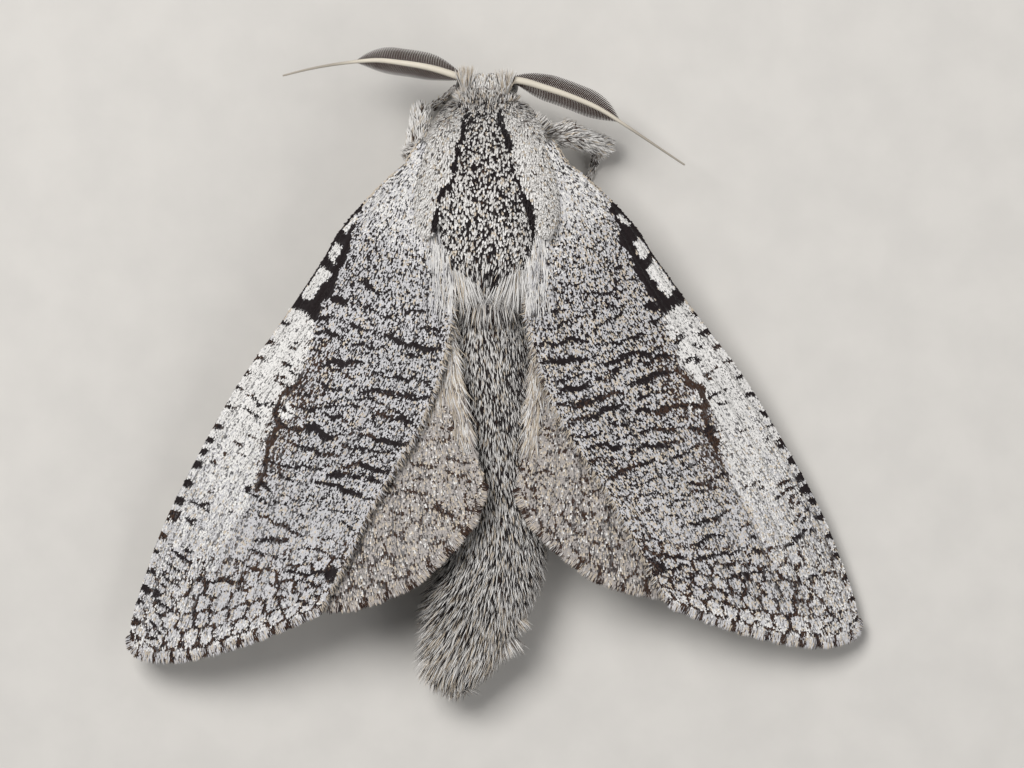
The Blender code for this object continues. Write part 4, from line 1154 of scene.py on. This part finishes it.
# Wing scales: the underside's are coarser, and each scale strays a little in turn and lift.
SCALE_COARSENESS = {"above": 1.0, "below": 1.6}
SCALE_STRAY, SCALE_TWIST = 0.14, 0.10
SCALE_LIFT = (3, 9)
SCALE_VARIETY = (0.85, 1.15)
MEMBRANE_SHADE = 0.35  # a membrane's tones as a share of its scales' tones


# What a maker would change, and the operators


def length_property(name, description, size_mm, least_mm=0, precision=6):
    """A length that a maker can change."""
    return FloatProperty(name=name, description=description, default=size_mm * MM,
                         min=least_mm * MM, unit="LENGTH", precision=precision)


def colour_property(name, description, code):
    """A colour that a maker can change."""
    return FloatVectorProperty(name=name, description=description, default=linear(code),
                               min=0, max=1, subtype="COLOR")


def power_property(name, description, watts):
    """A light's power that a maker can change."""
    return FloatProperty(name=name, description=description, default=watts, min=0, unit="POWER",
                         precision=3)


class MothSizes(bpy.types.PropertyGroup):
    """The sizes a maker would change."""

    skin_grain: length_property("Skin grain", "Edge of the skin's faces", 0.12, 0.08)
    coat_depth: length_property("Coat depth", "How far the skin lies under the coat", 0.30)
    leg_coat_depth: length_property("Leg coat depth", "The same on legs and palps", 0.10)
    scale_pitch_out: length_property("Scale row pitch", "From one row of wing scales to the next",
                                     0.105, 0.1)
    scale_pitch_across: length_property("Scale pitch", "From one wing scale to the next in its row",
                                        0.074, 0.07)
    scale_length: length_property("Scale length", "Length of a wing scale", 0.24)
    scale_width: length_property("Scale width", "Width of a wing scale", 0.105)


class MothColours(bpy.types.PropertyGroup):
    """The colours a maker would change."""

    pale: colour_property("Pale scales", "Grey-white scales of the forewings", "C2C0C1")
    dark: colour_property("Dark scales", "Black-brown scales of the markings", "1C1415")
    brown: colour_property("Brown scales", "Brown scales beside the pale band", "3C2A1F")
    white: colour_property("White scales", "Scales of the band at the leading edge", "DEDBD7")
    warm: colour_property("Warm scales", "Straw-coloured scales and hairs", "C2B5A3")
    beige: colour_property("Hindwing scales", "Beige scales of the hindwings", "A8A19C")
    coat: colour_property("Body coat", "Pale grey hair scales of the body", "CAC6C1")
    skin: colour_property("Skin", "Brown horny skin under the scales", "5A4A3E")
    # Besides the teeth, this colour paints shade on the underside of the antenna shaft.
    comb: colour_property("Antenna comb", "Dark brown teeth of the antennae", "33211A")
    shaft: colour_property("Antenna shaft", "Cream scales on the antennae", "E5DFD0")
    eye: colour_property("Eye", "Dark brown compound eyes", "140D0B")
    eye_shine: colour_property("Eye clouds", "Lighter clouds in the eyes", "261A13")
    floor: colour_property("Floor", "Pale plain floor", "C9C5BF")


class MothStage(bpy.types.PropertyGroup):
    """The camera and the light."""

    camera_height: length_property("Camera height", "Height of the camera over the floor", 254,
                                   precision=4)
    view_width: length_property("View width", "Width of the view at the wings' height", 56.9,
                                precision=5)
    key_power: power_property("Key light", "Power of the main soft light", 1.17)
    fill_power: power_property("Fill light", "Power of the soft light from the other side", 0.35)


VIEW_MIDDLE = (1.39, 0.0)  # where the camera stands over, in the body's millimetres
VIEW_LEVEL = 4.0  # the wings' height, where the view has its width
SENSOR = 36.0
NEAREST = 5 * MM
# Soft lights: place and edge length in metres.
LIGHTS = {"key": ((-0.11, 0.13, 0.30), 0.16), "fill": ((0.22, -0.10, 0.22), 0.25)}
SKY = (0.92, 0.95, 1.0, 1)
SKY_STRENGTH = 0.22
FLOOR_HALF = 600 * MM


class MOTH_OT_stage(bpy.types.Operator):
    """Sets the pale floor, the soft light and the camera over the moth."""

    bl_idname = "moth.stage"
    bl_label = "Floor, light and camera"

    def execute(self, context):
        stage, colours = context.scene.moth_stage, context.scene.moth_colours
        middle = home() + np.array((*VIEW_MIDDLE, 0)) * MM
        camera = bpy.data.objects.new("camera", bpy.data.cameras.new("camera"))
        distance = stage.camera_height - VIEW_LEVEL * MM
        camera.data.sensor_width = SENSOR
        camera.data.lens = SENSOR * distance / stage.view_width
        camera.data.clip_start = NEAREST
        camera.location = (*middle[:2], stage.camera_height)
        context.scene.collection.objects.link(camera)
        context.scene.camera = camera

        powers = {"key": stage.key_power, "fill": stage.fill_power}
        for name, (place, size) in LIGHTS.items():
            light = bpy.data.objects.new(name, bpy.data.lights.new(name, "AREA"))
            light.data.energy = powers[name]
            light.data.size = size
            light.location = place
            light.rotation_euler = (-Vector(place)).to_track_quat("-Z", "Y").to_euler()
            context.scene.collection.objects.link(light)
        world = bpy.data.worlds.new("studio")
        world.use_nodes = True
        sky = world.node_tree.nodes["Background"]
        sky.inputs["Color"].default_value = SKY
        sky.inputs["Strength"].default_value = SKY_STRENGTH
        context.scene.world = world
        # Standard shows a colour as its hex value says.
        context.scene.view_settings.view_transform = "Standard"

        mesh = bpy.data.meshes.new("floor")
        turns = ((-1, -1), (1, -1), (1, 1), (-1, 1))
        mesh.from_pydata([(FLOOR_HALF * x, FLOOR_HALF * y, 0) for x, y in turns],
                         [], [(0, 1, 2, 3)])
        floor = bpy.data.objects.new("floor", mesh)
        context.scene.collection.objects.link(floor)
        # Trowelled plaster: dull and pale, in faint clouds 3 mm across.
        clouds = tuple(c * 0.94 for c in colours.floor)
        mesh.materials.append(grained_material("plaster_trowelled", colours.floor, clouds, 0.8,
                                               3.0, 0.02))
        return {"FINISHED"}


class MOTH_OT_skin(bpy.types.Operator):
    """Fuses head, thorax, abdomen, palps and legs into one skin."""

    bl_idname = "moth.skin"
    bl_label = "Skin"

    def execute(self, context):
        sizes, colours = context.scene.moth_sizes, context.scene.moth_colours
        deep, leg_deep = sizes.coat_depth / MM, sizes.leg_coat_depth / MM
        parts = [trunk_tube(stations, rings, deep, fullness)
                 for stations, rings, fullness in TRUNK_TUBES]
        parts += [tegula_tube(side, deep) for side in SIDES]
        parts += [limb_tube(*segment, leg_deep) for segment in limb_segments()]
        mesh = remeshed("skin", *joined(parts), sizes.skin_grain / MM)
        places, _, _ = mesh_arrays(mesh)
        put_marking(mesh, np.column_stack(body_shares(places)))
        mesh.shade_smooth()
        # Haired chitin: dull brown, seen only as depth between the hairs.
        tones = [colours.skin, colours.dark, colours.brown, colours.coat, colours.skin]
        material = scale_material("chitin_haired", tones, 0.6, 0.1, 0.1)
        nodes = ["head", "thorax", "abdomen", "palp_left", "palp_right", *LEGS]
        show("skin", mesh, material, nodes)
        return {"FINISHED"}


def coat_material(colours):
    """The coat's hairs: soft and silky grey, each one of one tone, with a faint sheen."""
    tones = [colours.coat, colours.dark, colours.brown, colours.white, colours.warm]
    return scale_material("hair_scales_grown", tones, 0.62, 0.2, 0.05)


class MOTH_OT_coat(bpy.types.Operator):
    """Grows the hair scales of body and legs from the skin."""

    bl_idname = "moth.coat"
    bl_label = "Coat"

    def execute(self, context):
        skin = bpy.data.objects.get("skin")
        if skin is None:
            raise RuntimeError("the coat needs the skin: run Skin first")
        material = coat_material(context.scene.moth_colours)
        rng = np.random.RandomState(COAT_SEED)
        places, normals, limb, which, share, ways, keep = coat_roots(skin.data)
        rows = hermite(COAT_ROWS, places[:, 1])
        angle, y = trunk_angle(places), places[:, 1]
        keep &= ~(limb | (angle < UNDERSIDE)) | (rng.rand(len(angle)) < HIDDEN_SHARE)
        low, high = SHELL_SCALES
        shell = (y > low) & (y < high) & (angle > 0)
        fore, rear = COAT_PARTINGS
        regions = {
            "coat_back": ("blunt", shell),
            "coat_front": ("hair", (y > fore) & ~shell),
            "coat_abdomen_front": ("hair", (y <= fore) & (y > rear)),
            "coat_abdomen_rear": ("hair", y <= rear),
        }
        swollen = smooth(-9, -12, y) * smooth(0.1, 0.35, np.abs(angle)) * smooth(-16, -15, y)
        rows[:, 0] *= 1 + SWOLLEN_LENGTH * swollen
        rows[:, 2] += SWOLLEN_LIFT * swollen
        lie = trunk_lie(places, rng)
        for name, (shape, region) in regions.items():
            here = keep & ~limb & region
            unwrap = np.column_stack([spread(angle[here]), spread(y[here])])
            mesh = coat_mesh(name, shape, places[here], normals[here], lie[here], rows[here],
                             body_shares(places[here]), unwrap, rng)
            show(name, mesh, material)
        here = keep & limb
        mesh = self.limbs(places[here], normals[here], which[here], share[here], ways[here], rng)
        show("coat_legs", mesh, material)
        return {"FINISHED"}

    def limbs(self, places, normals, number, share, ways, rng):
        """Hairs on legs and palps, ringed with dark and brown on the feet."""
        limb, length = number // LEG_LENGTHS, number % LEG_LENGTHS
        turn = np.arctan2(normals[:, 2], normals[:, 0]) / math.tau % 1
        unwrap = np.column_stack([(limb + turn * 0.9) / (len(LEGS) + 1),
                                  (length + share * 0.96) / LEG_LENGTHS])
        part = np.where(limb < len(LEGS), length, LEG_LENGTHS)
        rings = 0.5 + 0.5 * np.sin(share * 12 + number)
        foot = (part == 2) | (part == 3)
        shares = [0.06 + 0.22 * rings * foot, 0.05 + 0.25 * rings * foot,
                  0.45 - 0.25 * foot, 0.10 + 0 * rings]
        loose = ways + rng.normal(0, 0.22, (len(number), 3))
        return coat_mesh("coat_legs", "hair", places, normals, loose, np.array(LEG_COAT)[part],
                         shares, unwrap, rng)


class MOTH_OT_tufts(bpy.types.Operator):
    """Grows the loose tufts of head, thorax and abdomen."""

    bl_idname = "moth.tufts"
    bl_label = "Tufts"

    def execute(self, context):
        rng = np.random.RandomState(COAT_SEED + 1)
        roots, ways, lengths, markings = [], [], [], []
        for root, lie, length, radius, count, shares in TUFTS:
            off = rng.normal(0, 1, (count, 3))
            way = unit(np.array(lie))
            off = unit(off - way * (off @ way)[:, None]) * np.sqrt(rng.rand(count))[:, None]
            roots.append(np.array(root) + off * radius * (1, 1, 0.5))
            ways.append(unit(way + off * TUFT_SPREAD + rng.normal(0, 0.10, (count, 3))))
            lengths.append(length * rng.uniform(0.65, 1.1, count))
            markings.append(classes([np.full(count, s) for s in shares], rng.rand(count)))
        roots, ways = np.concatenate(roots), np.concatenate(ways)
        lengths = np.concatenate(lengths)
        up = tangent(unit(np.array((0, 0, 1.0)) + rng.normal(0, 0.3, roots.shape)), ways)
        unwrap = np.column_stack([spread(trunk_angle(roots)), spread(roots[:, 1])])
        count = len(roots)
        mesh = scale_mesh("coat_tufts", "hair", roots, ways, up, lengths,
                          np.full(count, TUFT_WIDTH), rng.normal(0, 0.08, count),
                          np.concatenate(markings), rng.rand(count), unwrap)
        show("coat_tufts", mesh, coat_material(context.scene.moth_colours))
        return {"FINISHED"}


class MOTH_OT_claws(bpy.types.Operator):
    """Makes the claws of the six feet and the spurs of the shins."""

    bl_idname = "moth.claws"
    bl_label = "Claws and spurs"

    def execute(self, context):
        parts = []
        for name in LEGS:
            segments = leg_segments(name)
            parts += self.pair(*segments[-1][:2], CLAW)
            if "fore" not in name:
                parts += self.pair(*segments[1][:2], SPUR)
        points, faces = joined(parts)
        mesh = build_mesh("claws", points, [faces])
        mesh.shade_smooth()
        # Claw chitin worn smooth: dark brown with a hard, narrow shine.
        colours = context.scene.moth_colours
        material = grained_material("claw_chitin_polished", colours.skin, colours.eye, 0.35,
                                    0.15, 0.005)
        show("claws", mesh, material)
        return {"FINISHED"}

    def pair(self, start, end, shape):
        """Two pointed horns side by side at the end of a length of leg."""
        length, radius, splay, bend, ahead, aside = shape
        way = unit(end - start)
        beside = unit(np.cross(way, (0, 0, 1)))
        t = np.linspace(0, 1, 7)
        thick = radius * (1 - t * 0.93)
        horns = []
        for face in (-1, 1):
            root = end + way * ahead + beside * face * aside
            line = root + unit(way + beside * face * splay) * (t * length)[:, None]
            line = line + np.array((0, 0, bend)) * (t * t)[:, None]
            horns.append(closed_tube(oval_rings(line, np.gradient(line, axis=0), thick, thick, 8)))
        return horns


class MOTH_OT_wings(bpy.types.Operator):
    """Makes the four veined membranes and covers them with scales."""

    bl_idname = "moth.wings"
    bl_label = "Wings"

    def execute(self, context):
        sizes, colours = context.scene.moth_sizes, context.scene.moth_colours
        tones = [colours.dark, colours.brown, colours.white, colours.warm]
        pale, white, warm = [tuple(MEMBRANE_SHADE * c for c in tone)
                             for tone in (colours.pale, colours.white, colours.warm)]
        # Dried membrane: dark and dull, seen only where the scales part.
        membrane_tones = [pale, colours.dark, colours.brown, white, warm]
        membrane = scale_material("wing_membrane_dried", membrane_tones, 0.5, 0.0, 0.15)
        # Grown scales: powdery and dull, cool grey on the forewing and beige on the hindwing.
        materials = {
            "forewing": scale_material("forewing_scales_grown", [colours.pale, *tones], 0.6, 0.1,
                                       0.03),
            "hindwing": scale_material("hindwing_scales_grown", [colours.beige, *tones], 0.6, 0.1,
                                       0.03),
        }
        for kind in WINGS:
            for side in SIDES:
                self.membrane(kind, side, membrane)
                for face, rise in (("above", MEMBRANE_HALF), ("below", -MEMBRANE_HALF)):
                    self.scales(kind, side, face, rise, sizes, materials[kind])
                self.hairs(kind, side, materials[kind])
        return {"FINISHED"}

    def membrane(self, kind, side, material):
        """A thin closed sheet with raised veins."""
        rows, columns = MEMBRANE_GRID
        share, across = np.meshgrid(np.linspace(-ROOT_REACH / ROOT_RUN, MEMBRANE_END, rows),
                                    np.linspace(*MEMBRANE_SIDES, columns), indexing="ij")
        top, plane = on_roof(kind, side, share, across, MEMBRANE_HALF)
        bottom, _ = on_roof(kind, side, share, across, -MEMBRANE_HALF)
        count = rows * columns
        quads = grid_faces(rows, columns, False)[:, ::-SIDES[side]]
        rim = np.concatenate([
            np.arange(columns), np.arange(1, rows) * columns + columns - 1,
            (rows - 1) * columns + np.arange(columns - 2, -1, -1), np.arange(rows - 2, 0, -1) * columns,
        ])
        after = np.roll(rim, -1)
        wall = np.stack([rim, rim + count, after + count, after], axis=1)[:, ::-SIDES[side]]
        faces = np.concatenate([quads, quads[:, ::-1] + count, wall])
        points = np.concatenate([top.reshape(-1, 3), bottom.reshape(-1, 3)])
        mesh = build_mesh(f"{kind}_membrane_{side}", points, [faces])
        x, y = plane.reshape(-1, 2).T
        marking = np.column_stack(SHARES[kind](x, y, share.ravel(), across.ravel(), side))
        put_marking(mesh, np.concatenate([marking, marking]))
        mesh.shade_smooth()
        show(f"{kind}_membrane_{side}", mesh, material, [f"{kind}_{side}"])

    def unwrap(self, kind, share, across):
        """Places on a map of the wing laid flat, with a little room round it."""
        length = WINGS[kind]["front"][-1][0]
        return np.column_stack([(share * length + ROOT_REACH + 0.3) / (length + ROOT_REACH + 0.8),
                                across * 0.98 + 0.01])

    def scales(self, kind, side, face, rise, sizes, material):
        """Rows of broad scales over one face of a wing."""
        rng = np.random.RandomState(WING_SEED[side] + len(face) + len(kind))
        coarse = SCALE_COARSENESS[face]
        share, across = scale_rows(WINGS[kind], sizes.scale_pitch_out / MM * coarse,
                                   sizes.scale_pitch_across / MM * coarse, rng)
        places, lie, _, up, plane = roof_frame(kind, side, share, across, rise)
        count = len(share)
        shares = SHARES[kind](plane[:, 0] + 0.15, plane[:, 1], share, across, side)
        if face == "below":  # the markings show through faintly, over more straw-coloured scales
            shares = [s * 0.5 for s in shares[:3]] + [0.4 + 0 * share]
        beside = np.cross(lie, up)
        lie = unit(lie + beside * rng.normal(0, SCALE_STRAY, (count, 1)))
        up = tangent(unit(up + beside * rng.normal(0, SCALE_TWIST, (count, 1))), lie)
        length = sizes.scale_length / MM * coarse * rng.uniform(*SCALE_VARIETY, count)
        width = sizes.scale_width / MM * coarse * rng.uniform(*SCALE_VARIETY, count)
        lift = np.radians(rng.uniform(*SCALE_LIFT, count))
        marking = classes(shares, rng.rand(count))
        mesh = scale_mesh(f"{kind}_scales_{face}_{side}", "wedge", places, lie, up, length, width,
                          lift, marking, rng.rand(count), self.unwrap(kind, share, across))
        show(mesh.name, mesh, material)

    def hairs(self, kind, side, material):
        """The hairs at a wing's root and hind edge, and the cilia along its outer margin."""
        rng = np.random.RandomState(WING_SEED[side] + 3)
        rows = []
        for low, high, inner, outer, count, lean, lift, length, width, shares in WING_HAIRS[kind]:
            crowding = ROOT_CROWDING if lean < 10 else 1.0
            share = low + (high - low) * rng.rand(count) ** crowding
            across = outer - (outer - inner) * rng.rand(count) ** EDGE_CROWDING
            turn = np.radians(lean) + rng.normal(0, 0.14 + 0.01 * lean, count)
            marking = classes([np.full(count, s) for s in shares], rng.rand(count))
            rows.append((share, across, turn, np.full(count, lift),
                         length * rng.uniform(0.6, 1.2, count), np.full(count, width), marking))
        count = CILIA[kind]
        across = rng.uniform(0, 1, count)
        lobe = across * MARGIN_LOBES[kind] % 1
        uneven = 0.16 * (noise(across * MARGIN_LOBES[kind], 0, 0.9, WING_SEED[side]) - 0.5)
        gap = smooth(0.22, 0.12, np.minimum(lobe, 1 - lobe) + uneven + rng.normal(0, 0.04, count))
        shares = [0.12 + 0.16 * gap, 0.10 + 0.50 * gap, 0.06 * (1 - gap), 0.22 * (1 - gap)]
        length = CILIA_LENGTH * (0.86 + 0.14 * np.sin(math.pi * lobe)) * rng.uniform(0.8, 1.1, count)
        # A cilium has no turn of its own: it stands square to the margin.
        rows.append((rng.uniform(*CILIA_ROOTS, count), across, np.full(count, math.nan),
                     rng.uniform(-3, 6, count), length, np.full(count, CILIA_WIDTH),
                     classes(shares, rng.rand(count))))
        share, across, turn, lift, length, width, marking = map(np.concatenate, zip(*rows))
        places, lie, hindward, up, _ = roof_frame(kind, side, share, across, MEMBRANE_HALF)
        beside = tangent(hindward, lie)
        cilia = np.isnan(turn)[:, None]
        square = unit(np.cross(up, hindward)) * SIDES[side]
        square = square + beside * rng.normal(0, 0.08, (len(turn), 1))
        turn = np.where(cilia, 0, turn[:, None])
        lie = unit(np.where(cilia, square, lie * np.cos(turn) + beside * np.sin(turn)))
        mesh = scale_mesh(f"{kind}_fringe_{side}", "hair", places, lie, up, length, width,
                          np.radians(lift * rng.uniform(0.5, 1.5, len(lift))), marking,
                          rng.rand(len(lift)), self.unwrap(kind, share, across))
        show(mesh.name, mesh, material)


class MOTH_OT_eyes(bpy.types.Operator):
    """Makes the two compound eyes."""

    bl_idname = "moth.eyes"
    bl_label = "Eyes"

    def execute(self, context):
        colours = context.scene.moth_colours
        # Grown lenses: nearly black, with a soft shine broken up by their facets.
        material = eye_material("eye_lenses_grown", colours.eye, colours.eye_shine)
        for side, sign in SIDES.items():
            middle = np.array(EYE_PLACE) * (sign, 1, 1)
            points, faces = egg(middle, (1, 0, 0), [EYE_RADIUS] * 3, 40, 64, 88)
            mesh = build_mesh(f"compound_eye_{side}", points, [faces])
            mesh.shade_smooth()
            show(mesh.name, mesh, material, [f"eye_{side}"])
        return {"FINISHED"}


class MOTH_OT_antennae(bpy.types.Operator):
    """Makes the antennae: scaled shafts with a double comb of hairy teeth."""

    bl_idname = "moth.antennae"
    bl_label = "Antennae"

    def execute(self, context):
        # Grown scales: cream on top of the shaft, painted shade below it, dull dark brown on the comb.
        colours = context.scene.moth_colours
        tones = [colours.shaft, colours.comb, colours.comb, colours.shaft, colours.warm]
        material = scale_material("antenna_scales_grown", tones, 0.6, 0.02, 0.05)
        for side, sign in SIDES.items():
            route = np.array(ANTENNAE[side]) * (sign, 1, 1)
            length = np.linalg.norm(np.diff(route, axis=0), axis=1).sum()
            shaft, marking = self.shaft(route, length)
            teeth = self.comb(route, length, sign)
            points, faces = joined([shaft, *teeth])
            mesh = build_mesh(f"antenna_fine_{side}", points, [faces])
            comb = np.tile((1, 0, 0, 0), (len(points) - len(marking), 1))
            put_marking(mesh, np.concatenate([marking, comb]))
            mesh.shade_smooth()
            show(mesh.name, mesh, material, [f"antenna_{side}"])
        return {"FINISHED"}

    def shaft(self, route, length):
        """The ringed shaft, and its marking: painted shade below, and darker beyond the comb."""
        share = np.linspace(0, 1, SHAFT_RINGS)
        middles = along(route, share)
        swell = SCALE_RING_SWELL * np.sin(share * length / SCALE_RING_PITCH * math.tau)
        radius = hermite(SHAFT_RADII, share)[:, 0] * (1 + swell)
        points, faces = closed_tube(oval_rings(middles, np.gradient(middles, axis=0), radius,
                                               radius, SHAFT_SIDES))
        turn = np.linspace(0, math.tau, SHAFT_SIDES, endpoint=False)
        # Painted shade: the scales on the underside of the shaft are marked dark.
        under = np.tile(np.where(np.sin(turn) < -0.2, 0.85, 0.0), SHAFT_RINGS)
        beyond = smooth(COMB_END - 0.05, COMB_END + 0.15, np.repeat(share, SHAFT_SIDES))
        marking = np.zeros((len(points), 4))
        marking[:-2, 0] = np.maximum(under, 0.45 * beyond)
        marking[-1, 0] = 0.45
        marking[:, 3] = 0.5
        return (points, faces), marking

    def comb(self, route, length, sign):
        """The teeth on both sides of a shaft."""
        teeth = []
        t = np.array(TOOTH_SHARES)[:, None]
        reach, end = COMB_START, COMB_END * length
        while reach < end:
            share = reach / length
            here = along(route, share)
            way = unit(along(route, share + 0.01) - along(route, share - 0.01))
            beside = unit(np.cross(way, (0, 0, 1)))
            rise = min(1.0, (reach - COMB_RISE_FROM) / COMB_RISE)
            fall = min(1.0, (end - reach) / COMB_FALL + COMB_LAST)
            grown = math.sin(rise * math.pi / 2) * math.sin(fall * math.pi / 2)
            for face in (-1, 1):
                tooth = grown * TOOTH_LENGTH * (1.0 if face == -sign else SHORT_TOOTH)
                line = here + beside * (face * tooth * t) + way * (TOOTH_BEND * tooth * t * t)
                line = line + np.array((0, 0, -TOOTH_DROOP * tooth)) * t * t
                teeth.append(closed_tube(oval_rings(line, np.gradient(line, axis=0), TOOTH_THICKNESS,
                                                    TOOTH_THICKNESS, TOOTH_SIDES)))
            reach += TOOTH_PITCH
        return teeth


GROUPS = {"moth_sizes": MothSizes, "moth_colours": MothColours, "moth_stage": MothStage}
PIECES = (MOTH_OT_stage, MOTH_OT_skin, MOTH_OT_coat, MOTH_OT_tufts, MOTH_OT_claws, MOTH_OT_wings,
          MOTH_OT_eyes, MOTH_OT_antennae)


class MOTH_PT_panel(bpy.types.Panel):
    """Lists the moth's sizes, colours and pieces."""

    bl_idname = "MOTH_PT_panel"
    bl_label = "Wood moth"
    bl_space_type = "VIEW_3D"
    bl_region_type = "UI"
    bl_category = "Moth"

    def draw(self, context):
        for key in GROUPS:
            group = getattr(context.scene, key)
            for name in group.__annotations__:
                self.layout.prop(group, name)
        for piece in PIECES:
            self.layout.operator(piece.bl_idname)


def register():
    for kind in (*GROUPS.values(), *PIECES, MOTH_PT_panel):
        bpy.utils.register_class(kind)
    for name, group in GROUPS.items():
        setattr(bpy.types.Scene, name, PointerProperty(type=group))


def unregister():
    for name in GROUPS:
        delattr(bpy.types.Scene, name)
    for kind in (MOTH_PT_panel, *reversed(PIECES), *reversed(GROUPS.values())):
        bpy.utils.unregister_class(kind)


def main():
    register()
    for piece in PIECES:
        group, name = piece.bl_idname.split(".")
        getattr(getattr(bpy.ops, group), name)()


if __name__ == "__main__":
    main()
